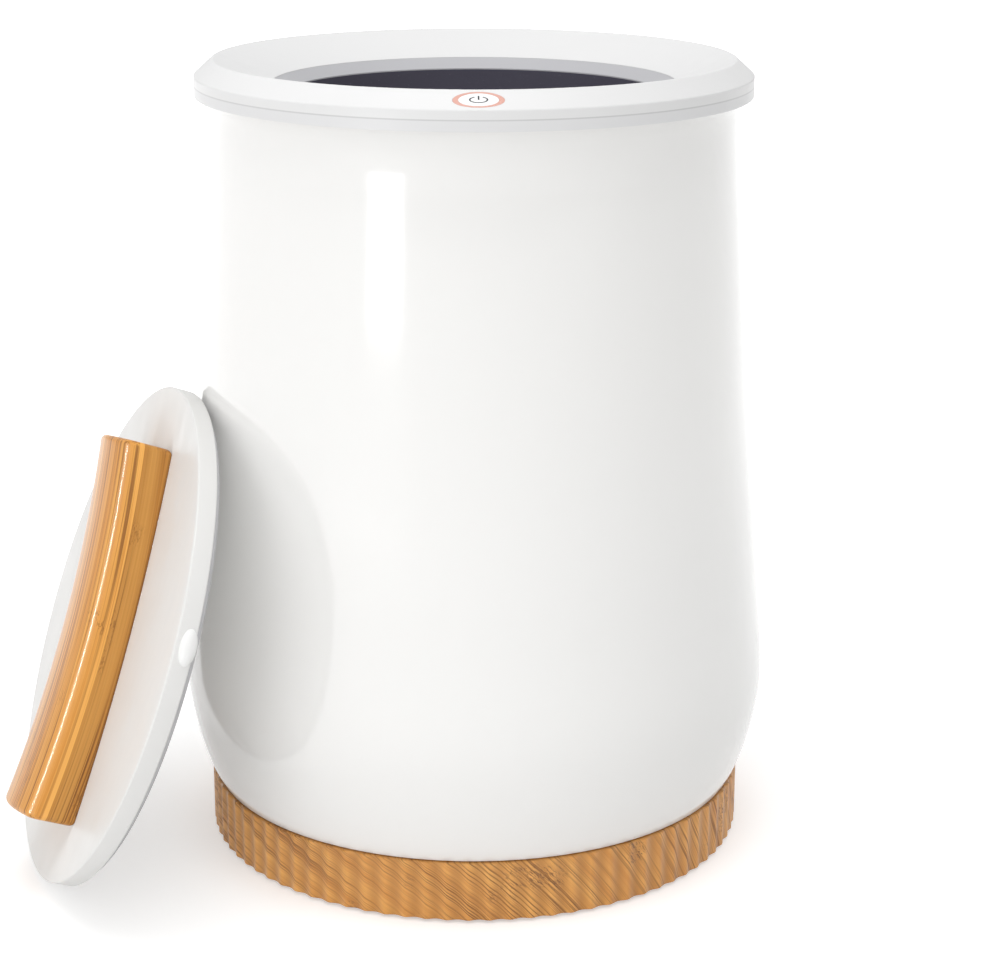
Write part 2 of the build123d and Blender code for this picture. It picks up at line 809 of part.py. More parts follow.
with BuildPart() as base_ring:
    with BuildSketch(Plane.XY.offset(plate_bottom)):
        with BuildLine():
            for flute in range(flute_count):
                start, middle, end = [
                    (radius * math.cos(math.radians(turn)), radius * math.sin(math.radians(turn)))
                    for radius, turn in (
                        (flute_valley, flute * flute_step),
                        (base_radius, (flute + 0.5) * flute_step),
                        (flute_valley, (flute + 1) * flute_step),
                    )
                ]
                ThreePointArc(start, middle, end)
        make_face()
        Circle(ring_inner_radius, mode=Mode.SUBTRACT)
    extrude(amount=base_ring_top - plate_bottom)
    # eased top and bottom edges
    with BuildSketch(Plane.XZ):
        Polygon(
            (ring_inner_radius - 1, plate_bottom),
            (base_radius - ring_edge_chamfer, plate_bottom),
            (base_radius + 0.01, plate_bottom + ring_edge_chamfer),
            (base_radius + 0.01, base_ring_top - ring_edge_chamfer),
            (base_radius - ring_edge_chamfer, base_ring_top),
            (ring_inner_radius - 1, base_ring_top),
            align=None,
        )
    revolve(axis=Axis.Z, mode=Mode.INTERSECT)
    # rebate that sits on the base plate's lip
    with BuildSketch(Plane.XY.offset(plate_bottom)):
        Circle(ring_inner_radius + plate_lip_width + plate_ring_gap)
    extrude(amount=plate_floor, mode=Mode.SUBTRACT)
    with BuildSketch(Plane.XZ.offset(-ring_inner_radius / 2)):
        with Locations((0, gland_height)):
            Circle(gland_hole_radius)
    extrude(amount=-base_radius, mode=Mode.SUBTRACT)
save(base_ring, "base_ring")

board_corners = GridLocations(
    board_length - 2 * board_hole_inset, board_width - 2 * board_hole_inset, 2, 2
)

with BuildPart() as base_plate:
    with BuildSketch(Plane.XY.offset(plate_bottom)):
        Circle(ring_inner_radius + plate_lip_width)
    extrude(amount=plate_floor)
    with BuildSketch(Plane.XY.offset(plate_bottom)):
        Circle(plate_outer_radius)
        Circle(plate_inner_radius, mode=Mode.SUBTRACT)
    extrude(amount=seat_height - plate_bottom)
    with BuildSketch(Plane.XY.offset(plate_bottom)):
        with PolarLocations(screw_circle, base_screw_count):
            Circle(boss_radius)
    extrude(amount=seat_height - plate_bottom)
    with BuildSketch(Plane.XY.offset(plate_top)):
        with board_corners:
            Circle(standoff_radius)
    extrude(amount=standoff_height)
    with BuildSketch(Plane.XY.offset(plate_top + standoff_height)):
        with board_corners:
            Circle(board_screw_radius + running_clearance)
    extrude(amount=-standoff_height, mode=Mode.SUBTRACT)
    # groove for the foot ring, screw holes and recesses for their heads
    with BuildSketch(Plane.XY.offset(plate_bottom)):
        Circle(screw_circle + foot_width / 2 + screw_clearance)
        Circle(screw_circle - foot_width / 2 - screw_clearance, mode=Mode.SUBTRACT)
    extrude(amount=foot_inset, mode=Mode.SUBTRACT)
    with BuildSketch(Plane.XY.offset(plate_bottom)):
        with PolarLocations(screw_circle, base_screw_count):
            Circle(screw_head_radius + screw_clearance)
    extrude(amount=screw_head_top - plate_bottom, mode=Mode.SUBTRACT)
    with BuildSketch(Plane.XY.offset(plate_bottom)):
        with PolarLocations(screw_circle, base_screw_count):
            Circle(base_screw_radius + screw_clearance)
    extrude(amount=seat_height, mode=Mode.SUBTRACT)
    # cooling slots under the board
    with BuildSketch(Plane.XY.offset(plate_bottom)):
        with GridLocations(0, vent_pitch, 1, vent_count):
            SlotOverall(vent_length, vent_width)
    extrude(amount=plate_floor, mode=Mode.SUBTRACT)
    with BuildSketch(Plane.XZ.offset(-ring_inner_radius / 2)):
        with Locations((0, gland_height)):
            Circle(gland_hole_radius)
    extrude(amount=-ring_inner_radius / 2 - 2, mode=Mode.SUBTRACT)
save(base_plate, "base_plate")

with BuildPart() as foot_ring:
    with BuildSketch():
        Circle(screw_circle + foot_width / 2)
        Circle(screw_circle - foot_width / 2, mode=Mode.SUBTRACT)
    extrude(amount=groove_top)
save(foot_ring, "foot_ring")

with BuildPart() as base_screws:
    with BuildSketch(Plane.XY.offset(screw_head_top)):
        with PolarLocations(screw_circle, base_screw_count):
            Circle(screw_head_radius)
    extrude(amount=-screw_head_height)
    with BuildSketch(Plane.XY.offset(screw_head_top)):
        with PolarLocations(screw_circle, base_screw_count):
            Circle(base_screw_radius)
    extrude(amount=seat_height + base_screw_reach - screw_head_top)
    with BuildSketch(Plane.XY.offset(screw_head_top - screw_head_height)):
        with PolarLocations(screw_circle, base_screw_count):
            RegularPolygon(0.5 * screw_head_radius, 6)
    extrude(amount=0.5 * screw_head_height, mode=Mode.SUBTRACT)
save(base_screws, "base_screws")

gland_flange_face = base_radius + seat_clearance
gland_inner_end = plate_inner_radius - gland_nut_thickness - gland_thread_end
gland_nut_radius = gland_radius + gland_nut_margin

with BuildPart() as cord_gland:
    with BuildSketch(Plane.XZ.offset(-gland_inner_end)):
        with Locations((0, gland_height)):
            Circle(gland_radius)
    extrude(amount=-(gland_flange_face - gland_inner_end))
    with BuildSketch(Plane.XZ.offset(-gland_flange_face)):
        with Locations((0, gland_height)):
            Circle(gland_flange_radius)
    extrude(amount=-gland_flange_thickness)
    fillet(cord_gland.edges().group_by(Axis.Y)[-1], gland_flange_round)
    with BuildSketch(Plane.XZ.offset(-ring_inner_radius / 2)):
        with Locations((0, gland_height)):
            Circle(cord_hole_radius)
    extrude(amount=-base_radius, mode=Mode.SUBTRACT)
save(cord_gland, "cord_gland")

gland_nut_face = math.sqrt(plate_inner_radius**2 - gland_nut_radius**2)

with BuildPart() as gland_nut:
    with BuildSketch(Plane.XZ.offset(-gland_nut_face)):
        with Locations((0, gland_height)):
            RegularPolygon(gland_nut_radius, 6)
            Circle(gland_radius + running_clearance, mode=Mode.SUBTRACT)
    extrude(amount=gland_nut_thickness)
save(gland_nut, "gland_nut")


# ------------------------------------------------------------------ power board and wiring

board_bottom = plate_top + standoff_height
board_top = board_bottom + power_board_thickness

with BuildPart() as power_board:
    with BuildSketch(Plane.XY.offset(board_bottom)):
        RectangleRounded(board_length, board_width, board_corner)
        with board_corners:
            Circle(board_screw_radius + screw_clearance, mode=Mode.SUBTRACT)
    extrude(amount=power_board_thickness)
save(power_board, "power_board")

with BuildPart() as board_screws:
    with BuildSketch(Plane.XY.offset(board_top)):
        with board_corners:
            Circle(small_head_ratio * board_screw_radius)
    extrude(amount=small_head_height * board_screw_radius)
    with BuildSketch(Plane.XY.offset(board_top)):
        with board_corners:
            Circle(board_screw_radius)
    extrude(amount=-(power_board_thickness + 0.8 * standoff_height))
save(board_screws, "board_screws")

with BuildPart() as power_relay:
    with BuildSketch(Plane.XY.offset(board_top)):
        with Locations(relay_place):
            RectangleRounded(relay_size[0], relay_size[1], component_round)
    extrude(amount=relay_size[2])
    chamfer(power_relay.faces().sort_by(Axis.Z)[-1].edges(), component_round / 2)
save(power_relay, "power_relay")

with BuildPart() as film_capacitor:
    with BuildSketch(Plane.XY.offset(board_top)):
        with Locations(capacitor_place):
            RectangleRounded(capacitor_size[0], capacitor_size[1], component_round)
    extrude(amount=capacitor_size[2])
save(film_capacitor, "film_capacitor")

with BuildPart() as terminal_block:
    with BuildSketch(Plane.XY.offset(board_top)):
        with Locations((terminal_face - terminal_size[0] / 2, 0)):
            Rectangle(terminal_size[0], terminal_size[1])
    extrude(amount=terminal_size[2])
    with BuildSketch(Plane.YZ.offset(terminal_face)):
        with Locations(*[(lead_y, lead_height) for lead_y in lead_places]):
            Circle(lead_radius + running_clearance)
    extrude(amount=-lead_entry, mode=Mode.SUBTRACT)
    with BuildSketch(Plane.XY.offset(board_top + terminal_size[2])):
        with Locations(*[(terminal_face - terminal_screw_inset, lead_y) for lead_y in lead_places]):
            Circle(terminal_screw_radius)
    extrude(amount=-terminal_screw_depth, mode=Mode.SUBTRACT)
save(terminal_block, "terminal_block")

socket_face = board_width / 2

with BuildPart() as ribbon_socket:
    with BuildSketch(Plane.XY.offset(board_top)):
        with Locations((0, -socket_face + socket_depth / 2)):
            Rectangle(ribbon_width + 2 * socket_margin, socket_depth)
    extrude(amount=ribbon_height - board_top + socket_margin)
save(ribbon_socket, "ribbon_socket")

board_back = button_plane.offset(-board_depth - board_thickness)
ribbon_start = board_back.from_local_coords((0, ribbon_exit, 0))
ribbon_corner = ribbon_start - button_plane.z_dir * ribbon_stub

with BuildPart() as control_ribbon:
    with BuildLine() as ribbon_path:
        FilletPolyline(
            ribbon_start,
            ribbon_corner,
            (0, -ribbon_radius, ribbon_corner.Z - ribbon_bend),
            (0, -ribbon_radius, ribbon_height),
            (0, -socket_face, ribbon_height),
            radius=ribbon_bend,
        )
    with BuildSketch(Plane(ribbon_start, x_dir=(1, 0, 0), z_dir=-button_plane.z_dir)):
        Rectangle(ribbon_width, ribbon_thickness)
    sweep(path=ribbon_path.line)
save(control_ribbon, "control_ribbon")

with BuildPart() as ribbon_clips:
    for clip_height in clip_heights:
        sleeve_face = chamber_outer_radius(clip_height) + sleeve_gap + insulation_thickness
        pad_face = sleeve_face + seat_gap
        with BuildSketch(Plane.XY.offset(clip_height - clip_size / 2)):
            with Locations((0, -(pad_face + ribbon_radius - ribbon_thickness / 2) / 2)):
                Rectangle(clip_size, ribbon_radius - ribbon_thickness / 2 - pad_face)
        extrude(amount=clip_size)
save(ribbon_clips, "ribbon_clips")

lead_ring_radius = chamber_outer_radius(heater_bottom) + lead_radius + lead_wall_gap

with BuildPart() as heater_leads:
    for lead_y in lead_places:
        lead_x = math.sqrt(lead_ring_radius**2 - lead_y**2)
        with BuildLine() as lead_path:
            FilletPolyline(
                (lead_x, lead_y, heater_bottom),
                (lead_x, lead_y, lead_height),
                (terminal_face - lead_entry, lead_y, lead_height),
                radius=lead_bend,
            )
        with BuildSketch(Plane((lead_x, lead_y, heater_bottom), z_dir=(0, 0, -1))):
            Circle(lead_radius)
        sweep(path=lead_path.line)
save(heater_leads, "heater_leads")


# ------------------------------------------------------------------ lid

# The lid leans on the shell and stands on the floor. Its own frame has its origin in the
# middle of the edge band's lower rim, its normal pointing out of the dished top face and its
# x direction along the handle.
lid_radius = crown_radius - lid_side_gap
tilt = math.radians(lid_tilt)
azimuth = math.radians(lid_azimuth)
turn = math.radians(handle_turn)
lean_radius = flank_radius(2 * lid_radius * math.cos(tilt)) + lid_rest_gap
outwards = Vector(math.cos(azimuth), math.sin(azimuth), 0)
upwards = Vector(0, 0, 1)
lid_normal = outwards * math.cos(tilt) + upwards * math.sin(tilt)
lid_slope = upwards * math.cos(tilt) - outwards * math.sin(tilt)
handle_axis = lid_slope * math.cos(turn) + lid_slope.cross(lid_normal) * math.sin(turn)
# the rounded lower edge of the leaning lid touches the floor
edge_rise = lid_edge_round * (math.cos(tilt) + math.sin(tilt) - 1)
lid_middle = outwards * (lean_radius + lid_radius * math.sin(tilt)) + upwards * (
    lid_radius * math.cos(tilt) - edge_rise
)
lid_plane = Plane(lid_middle, x_dir=handle_axis, z_dir=lid_normal)
lid_section = Plane(lid_middle, x_dir=handle_axis, z_dir=handle_axis.cross(lid_normal))
lid_axis = Axis(lid_middle, lid_normal)

dish_radius = lid_radius - dish_margin
dish_floor = lid_band_height - dish_depth
dish_sphere = (dish_radius**2 + dish_depth**2) / (2 * dish_depth)
liner_foot_radius = lid_radius - lid_wall - 2 * gasket_edge - gasket_width
liner_floor_radius = liner_foot_radius - liner_slope_run
liner_screw_circle = liner_floor_radius - liner_screw_inset
gasket_inner_radius = liner_foot_radius + gasket_edge
liner_inside = liner_wall - liner_depth


def dish_height(radius):
    """Height of the dished top face at a distance from the lid's middle."""
    return dish_floor + dish_sphere - math.sqrt(dish_sphere**2 - radius**2)


with BuildPart() as lid_cover:
    with BuildSketch(lid_section):
        with BuildLine():
            face_arc = ThreePointArc(
                (0, dish_floor),
                (dish_radius / 2, dish_height(dish_radius / 2)),
                (dish_radius, lid_band_height),
            )
            Polyline(
                face_arc @ 1,
                (lid_radius, lid_band_height),
                (lid_radius, 0),
                (lid_radius - lid_wall, 0),
                (lid_radius - lid_wall, dish_height(lid_radius - lid_wall) - lid_wall),
            )
            ThreePointArc(
                (lid_radius - lid_wall, dish_height(lid_radius - lid_wall) - lid_wall),
                (dish_radius / 2, dish_height(dish_radius / 2) - lid_wall),
                (0, dish_floor - lid_wall),
            )
            Line((0, dish_floor - lid_wall), (0, dish_floor))
        make_face()
    revolve(axis=lid_axis)
    band_edges = lid_cover.edges().filter_by(GeomType.CIRCLE)
    fillet(
        band_edges.filter_by(lambda edge: abs(edge.radius - lid_radius) < 0.01),
        lid_edge_round,
    )
    # seats for the handle's screws, and bosses for the liner's screws
    handle_seat = dish_height(handle_screw_reach) - lid_wall - handle_seat_rise
    with BuildSketch(lid_plane.offset(handle_seat)):
        with Locations((-handle_screw_reach, 0), (handle_screw_reach, 0)):
            Circle(seat_boss_radius)
    extrude(amount=2)
    with BuildSketch(lid_plane.offset(liner_inside)):
        with PolarLocations(liner_screw_circle, liner_screw_count, start_angle=45):
            Circle(liner_boss_radius)
    extrude(amount=dish_height(liner_screw_circle) - lid_wall / 2 - liner_inside)
    with BuildSketch(lid_plane.offset(liner_inside)):
        with PolarLocations(liner_screw_circle, liner_screw_count, start_angle=45):
            Circle(liner_screw_radius + running_clearance)
    extrude(amount=liner_screw_reach + screw_spare, mode=Mode.SUBTRACT)
    with BuildSketch(lid_plane.offset(handle_seat)):
        with Locations((-handle_screw_reach, 0), (handle_screw_reach, 0)):
            Circle(handle_screw_radius + screw_clearance)
    extrude(amount=2 * lid_wall, mode=Mode.SUBTRACT)
save(lid_cover, "lid_cover")

with BuildPart() as lid_liner:
    with BuildSketch(lid_section):
        Polygon(
            (0, -liner_depth),
            (liner_floor_radius, -liner_depth),
            (liner_foot_radius, 0),
            (lid_radius - lid_wall - seat_clearance, 0),
            (lid_radius - lid_wall - seat_clearance, liner_wall),
            (liner_foot_radius - liner_slope_thinning, liner_wall),
            (liner_floor_radius - liner_slope_thinning, liner_inside),
            (0, liner_inside),
            align=None,
        )
    revolve(axis=lid_axis)
    with BuildSketch(lid_plane.offset(-liner_depth)):
        with PolarLocations(liner_screw_circle, liner_screw_count, start_angle=45):
            Circle(liner_screw_radius + screw_clearance)
    extrude(amount=liner_wall, mode=Mode.SUBTRACT)
save(lid_liner, "lid_liner")

with BuildPart() as liner_screws:
    with BuildSketch(lid_plane.offset(-liner_depth)):
        with PolarLocations(liner_screw_circle, liner_screw_count, start_angle=45):
            Circle(small_head_ratio * liner_screw_radius)
    extrude(amount=-small_head_height * liner_screw_radius)
    with BuildSketch(lid_plane.offset(-liner_depth)):
        with PolarLocations(liner_screw_circle, liner_screw_count, start_angle=45):
            Circle(liner_screw_radius)
    extrude(amount=liner_wall + liner_screw_reach)
save(liner_screws, "liner_screws")

with BuildPart() as lid_gasket:
    with BuildSketch(lid_section):
        with BuildLine():
            foot = Line((gasket_inner_radius, 0), (gasket_inner_radius + gasket_width, 0))
            ThreePointArc(
                foot @ 1,
                (gasket_inner_radius + gasket_width / 2, -gasket_height),
                foot @ 0,
            )
        make_face()
    revolve(axis=lid_axis)
save(lid_gasket, "lid_gasket")

foam_radius = liner_floor_radius - foam_edge_gap

with BuildPart() as lid_insulation:
    with BuildSketch(lid_section):
        with BuildLine():
            foam_arc = ThreePointArc(
                (0, dish_floor - lid_wall - seat_gap),
                (foam_radius / 2, dish_height(foam_radius / 2) - lid_wall - seat_gap),
                (foam_radius, dish_height(foam_radius) - lid_wall - seat_gap),
            )
            Polyline(
                foam_arc @ 1,
                (foam_radius, liner_inside),
                (0, liner_inside),
                (0, dish_floor - lid_wall - seat_gap),
            )
        make_face()
    revolve(axis=lid_axis)
    with BuildSketch(lid_plane.offset(liner_inside)):
        with Locations((-handle_screw_reach, 0), (handle_screw_reach, 0)):
            Circle(seat_boss_radius + foam_boss_gap)
        with PolarLocations(liner_screw_circle, liner_screw_count, start_angle=45):
            Circle(liner_boss_radius + foam_boss_gap)
    extrude(amount=lid_band_height - liner_inside, mode=Mode.SUBTRACT)
save(lid_insulation, "lid_insulation")

# The handle's top is bowed: its section is turned about an axis above the lid. It is cut off
# square to the lid, and its underside lies on the sphere that the dish belongs to.
sphere_middle = lid_middle + lid_normal * (dish_floor + dish_sphere)
handle_half = handle_width / 2
insert_top = dish_height(handle_screw_reach + insert_radius) + insert_length
side_top = dish_height(handle_half) + handle_side_height
bow_radius = ((handle_length / 2) ** 2 + handle_bow**2) / (2 * handle_bow)
bow_middle = lid_middle + lid_normal * (side_top + bow_radius)
handle_swing = math.asin((handle_length / 2 + handle_end_spare) / bow_radius)
end_direction = lid_normal * -math.cos(handle_swing) - handle_axis * math.sin(handle_swing)
across = lid_normal.cross(handle_axis)
handle_section = Plane(bow_middle, x_dir=across, z_dir=end_direction.cross(across))
handle_hinge = Axis(bow_middle, handle_axis.cross(lid_normal))
handle_root = bow_radius + side_top + handle_bow    # below the dish all along
crown_slope = math.radians(handle_crown_slope)
edge_middle = handle_half - handle_edge_round
crown_half = edge_middle + handle_edge_round * math.sin(crown_slope)
crown_edge = bow_radius - handle_edge_round * math.cos(crown_slope)
crown_sphere = crown_half / math.sin(crown_slope)
crown_top = crown_edge - crown_sphere * (1 - math.cos(crown_slope))

with BuildPart() as lid_handle:
    with BuildSketch(handle_section):
        with BuildLine():
            Polyline(
                (-handle_half, -bow_radius),
                (-handle_half, -handle_root),
                (handle_half, -handle_root),
                (handle_half, -bow_radius),
            )
            CenterArc((edge_middle, -bow_radius), handle_edge_round, 0, 90 - handle_crown_slope)
            ThreePointArc((crown_half, -crown_edge), (0, -crown_top), (-crown_half, -crown_edge))
            CenterArc(
                (-edge_middle, -bow_radius),
                handle_edge_round,
                90 + handle_crown_slope,
                90 - handle_crown_slope,
            )
        make_face()
    revolve(axis=handle_hinge, revolution_arc=2 * math.degrees(handle_swing))
    with BuildSketch(lid_plane):
        Rectangle(handle_length, handle_width)
    extrude(amount=bow_radius, mode=Mode.INTERSECT)
    with Locations(sphere_middle):
        Sphere(dish_sphere, mode=Mode.INTERSECT)
    ends = lid_handle.faces().sort_by(Axis(lid_middle, handle_axis))
    fillet(ends[0].edges() + ends[-1].edges(), handle_end_round)
    with BuildSketch(lid_plane.offset(handle_seat)):
        with Locations((-handle_screw_reach, 0), (handle_screw_reach, 0)):
            Circle(insert_radius)
    extrude(amount=insert_top - handle_seat, mode=Mode.SUBTRACT)
save(lid_handle, "lid_handle")

with BuildPart() as handle_inserts:
    with BuildSketch(lid_plane.offset(insert_top)):
        with Locations((-handle_screw_reach, 0), (handle_screw_reach, 0)):
            Circle(insert_radius)
            Circle(handle_screw_radius + running_clearance, mode=Mode.SUBTRACT)
    extrude(amount=-insert_length)
save(handle_inserts, "handle_inserts")

with BuildPart() as handle_screws:
    with BuildSketch(lid_plane.offset(handle_seat)):
        with Locations((-handle_screw_reach, 0), (handle_screw_reach, 0)):
            Circle(1.75 * handle_screw_radius)
    extrude(amount=-handle_screw_radius)
    with BuildSketch(lid_plane.offset(handle_seat)):
        with Locations((-handle_screw_reach, 0), (handle_screw_reach, 0)):
            Circle(handle_screw_radius)
    extrude(amount=insert_top - handle_seat - 1)
save(handle_screws, "handle_screws")

# Soft bumper pressed onto the lid's edge band
bumper_turn = math.radians(bumper_angle)
bumper_outwards = handle_axis * math.cos(bumper_turn) + handle_axis.cross(lid_normal) * math.sin(
    bumper_turn
)
bumper_lengthways = lid_normal.cross(bumper_outwards)
bumper_middle = lid_plane.offset(bumper_rise).origin + bumper_outwards * (lid_radius - bumper_sink)

with BuildPart() as lid_bumper:
    with BuildSketch(Plane(bumper_middle, x_dir=bumper_lengthways, z_dir=lid_normal)):
        with BuildLine():
            EllipticalCenterArc((0, 0), bumper_length / 2, bumper_width / 2, start_angle=0, arc_size=180)
            Line((-bumper_length / 2, 0), (bumper_length / 2, 0))
        make_face()
    revolve(axis=Axis(bumper_middle, bumper_lengthways))
    with BuildSketch(lid_plane.offset(-lid_band_height)):
        Circle(lid_radius)
    extrude(amount=3 * lid_band_height, mode=Mode.SUBTRACT)
save(lid_bumper, "lid_bumper")
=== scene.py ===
import math
from collections import namedtuple

import bmesh
import bpy
from bpy.props import FloatProperty, FloatVectorProperty, IntProperty, PointerProperty
from mathutils import Matrix, Vector


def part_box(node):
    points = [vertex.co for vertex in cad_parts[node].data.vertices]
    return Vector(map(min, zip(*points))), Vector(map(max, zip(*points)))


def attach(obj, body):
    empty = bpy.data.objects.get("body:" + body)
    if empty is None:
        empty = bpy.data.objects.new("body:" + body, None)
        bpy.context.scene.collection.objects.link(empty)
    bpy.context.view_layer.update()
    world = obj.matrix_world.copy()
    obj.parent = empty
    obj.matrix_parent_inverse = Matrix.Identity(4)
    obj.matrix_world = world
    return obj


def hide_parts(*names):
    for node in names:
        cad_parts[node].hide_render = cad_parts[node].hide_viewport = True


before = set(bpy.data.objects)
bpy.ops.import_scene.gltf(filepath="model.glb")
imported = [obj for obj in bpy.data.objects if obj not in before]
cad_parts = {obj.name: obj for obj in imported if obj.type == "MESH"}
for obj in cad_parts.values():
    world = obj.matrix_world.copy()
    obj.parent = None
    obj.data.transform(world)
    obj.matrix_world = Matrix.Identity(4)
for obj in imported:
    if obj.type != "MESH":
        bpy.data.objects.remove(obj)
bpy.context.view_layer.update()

bl_info = {
    "name": "Towel Warmer Bucket",
    "version": (1, 0, 0),
    "blender": (4, 5, 0),
    "location": "View3D > Sidebar > Towel Bucket",
    "description": "Finishes a heated towel bucket with a bamboo foot and a bamboo lid handle",
    "category": "Object",
}

SAME_CORNER = 1e-6      # corners of a CAD mesh that lie closer than this are one
MESH_MARGIN = 0.00002   # keeps a finely meshed curve inside the box of the same curve meshed coarsely
BAND_REACH = 0.99       # share of the cover's radius beyond which its corners are those of its band


# ---- places from the frame


def solids_of(node):
    """The corner points of each separate solid of a CAD node."""
    shape = bmesh.new()
    shape.from_mesh(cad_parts[node].data)
    bmesh.ops.remove_doubles(shape, verts=shape.verts, dist=SAME_CORNER)
    solids = []
    found = set()
    for start in shape.verts:
        if start in found:
            continue
        found.add(start)
        stack = [start]
        corners = []
        while stack:
            corner = stack.pop()
            corners.append(corner.co.copy())
            others = [edge.other_vert(corner) for edge in corner.link_edges]
            stack += [other for other in others if other not in found]
            found.update(others)
        solids.append(corners)
    shape.free()
    return solids


def middle_of(points):
    """Mean of some points."""
    return sum(points, Vector()) / len(points)


def find_lid_place():
    """Matrix of the leaning lid: x along the handle, z out of its dished face."""
    lower, upper = sorted((middle_of(solid) for solid in solids_of("handle_inserts")), key=lambda p: p.z)
    screws = [middle_of(solid) for solid in solids_of("liner_screws")]
    first, second = screws[1] - screws[0], screws[2] - screws[0]
    normal = first.cross(second).normalized()
    outwards = middle_of(screws) * Vector((1, 1, 0))
    if normal.dot(outwards) < 0:
        normal = -normal
    lengthways = (upper - lower).normalized()
    across = normal.cross(lengthways)
    turn = Matrix((lengthways, across, normal)).transposed().to_4x4()
    return Matrix.Translation((lower + upper) / 2) @ turn


def corners_in_lid(node):
    """The corners of a CAD node, in the lid's own directions."""
    inverse = LID_PLACE.inverted()
    return [inverse @ vertex.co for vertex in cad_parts[node].data.vertices]


def highest(corners):
    """The greatest x, y and z of some corners."""
    return Vector([max(corner[axis] for corner in corners) for axis in range(3)])


LID_PLACE = find_lid_place()
COVER = corners_in_lid("lid_cover")
COVER_HIGH = highest(COVER)
BAND_LOW = min(corner.z for corner in COVER if corner.xy.length > BAND_REACH * COVER_HIGH.x)
HANDLE_HIGH = highest(corners_in_lid("lid_handle"))
RING_LOW, RING_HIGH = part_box("base_ring")
CHAMBER_LOW, CHAMBER_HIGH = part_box("inner_bucket")
COLLAR_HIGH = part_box("rim_collar")[1]


# ---- settings


class CasingSettings(bpy.types.PropertyGroup):
    """Gloss and tone of the white casing."""

    body_colour: FloatVectorProperty(
        name="Body colour",
        description="Warm white of the bellied shell",
        subtype="COLOR",
        default=(0.86, 0.855, 0.84),
    )
    lid_colour: FloatVectorProperty(
        name="Lid colour",
        description="White of the lid's cover",
        subtype="COLOR",
        default=(0.78, 0.775, 0.76),
    )
    # partly painted shade: the collar is greyer than the bezel both as a duller satin plastic and as shade
    # on its downward-facing band
    rim_colour: FloatVectorProperty(
        name="Collar colour",
        description="Cooler white of the rim's lower ring",
        subtype="COLOR",
        default=(0.72, 0.72, 0.725),
    )
    # partly painted light: the bezel is lighter than the collar for the light from above on its upward
    # bevel
    bezel_colour: FloatVectorProperty(
        name="Bezel colour",
        description="White of the rim's sloping upper ring",
        subtype="COLOR",
        default=(0.755, 0.755, 0.755),
    )
    lip_colour: FloatVectorProperty(
        name="Lip colour",
        description="Grey of the sloping lip inside the funnel",
        subtype="COLOR",
        default=(0.47, 0.47, 0.49),
    )
    gloss: FloatProperty(
        name="Gloss roughness",
        description="Roughness of the polished shell",
        default=0.10,
        min=0.02,
        max=0.8,
    )


class BambooSettings(bpy.types.PropertyGroup):
    """Tones and build of the bamboo pieces."""

    pale: FloatVectorProperty(
        name="Pale fibre",
        description="Lightest bamboo fibre",
        subtype="COLOR",
        default=(0.80, 0.40, 0.095),
    )
    honey: FloatVectorProperty(
        name="Honey fibre",
        description="Main tone of the bamboo",
        subtype="COLOR",
        default=(0.60, 0.245, 0.042),
    )
    brown: FloatVectorProperty(
        name="Brown vessel",
        description="Thin dark vessels and knots in the bamboo",
        subtype="COLOR",
        default=(0.20, 0.070, 0.015),
    )
    strip_width: FloatProperty(
        name="Strip width",
        description="Width of one glued bamboo strip of the handle",
        subtype="DISTANCE",
        default=0.0056,
        min=0.002,
        max=0.02,
    )
    lacquer: FloatProperty(
        name="Lacquer roughness",
        description="Roughness of the clear lacquer on the handle",
        default=0.06,
        min=0.0,
        max=0.8,
    )


class RingSettings(bpy.types.PropertyGroup):
    """Shape of the reeded bamboo ring."""

    ridge_count: IntProperty(
        name="Ridges",
        description="Upright ridges around the ring",
        default=84,
        min=3,
    )
    ridge_depth: FloatProperty(
        name="Ridge depth",
        description="How deep the valleys between the ridges are",
        subtype="DISTANCE",
        default=0.0013,
        min=0.0,
        max=0.005,
    )
    wall: FloatProperty(
        name="Wall",
        description="Thickness of the ring's wall",
        subtype="DISTANCE",
        default=0.013,
        min=0.004,
        max=0.03,
    )
    eased_edge: FloatProperty(
        name="Eased edge",
        description="Rounding of the ring's upper and lower edges",
        subtype="DISTANCE",
        default=0.0008,
        min=0.0,
        max=0.003,
    )


class LidSettings(bpy.types.PropertyGroup):
    """Shape of the dished lid and its bowed handle."""

    dish_depth: FloatProperty(
        name="Dish depth",
        description="Depth of the dish in the lid's face",
        subtype="DISTANCE",
        default=0.0054,
        min=0.001,
        max=0.02,
    )
    dish_margin: FloatProperty(
        name="Dish margin",
        description="Flat edge around the dish",
        subtype="DISTANCE",
        default=0.0022,
        min=0.0,
        max=0.02,
    )
    edge_round: FloatProperty(
        name="Edge round",
        description="Rounding of the lid's outer edges",
        subtype="DISTANCE",
        default=0.0008,
        min=0.0001,
        max=0.004,
    )
    cover_wall: FloatProperty(
        name="Cover wall",
        description="Wall of the lid's cover",
        subtype="DISTANCE",
        default=0.0024,
        min=0.001,
        max=0.006,
    )
    side_height: FloatProperty(
        name="Handle side",
        description="Height of the handle's flat side at its middle",
        subtype="DISTANCE",
        default=0.014,
        min=0.002,
        max=0.05,
    )
    bow: FloatProperty(
        name="Handle bow",
        description="How much higher the handle's ends stand than its middle",
        subtype="DISTANCE",
        default=0.0062,
        min=0.0001,
        max=0.03,
    )
    handle_round: FloatProperty(
        name="Handle edge",
        description="Rounding of the handle's long edges",
        subtype="DISTANCE",
        default=0.008,
        min=0.001,
        max=0.02,
    )
    crown_slope: FloatProperty(
        name="Crown slope",
        description="Slope of the crowned top where it meets the rounded edges",
        subtype="ANGLE",
        default=math.radians(18),
        min=math.radians(2),
        max=math.radians(60),
    )
    end_round: FloatProperty(
        name="Handle end",
        description="Rounding of the handle's ends",
        subtype="DISTANCE",
        default=0.003,
        min=0.0001,
        max=0.01,
    )


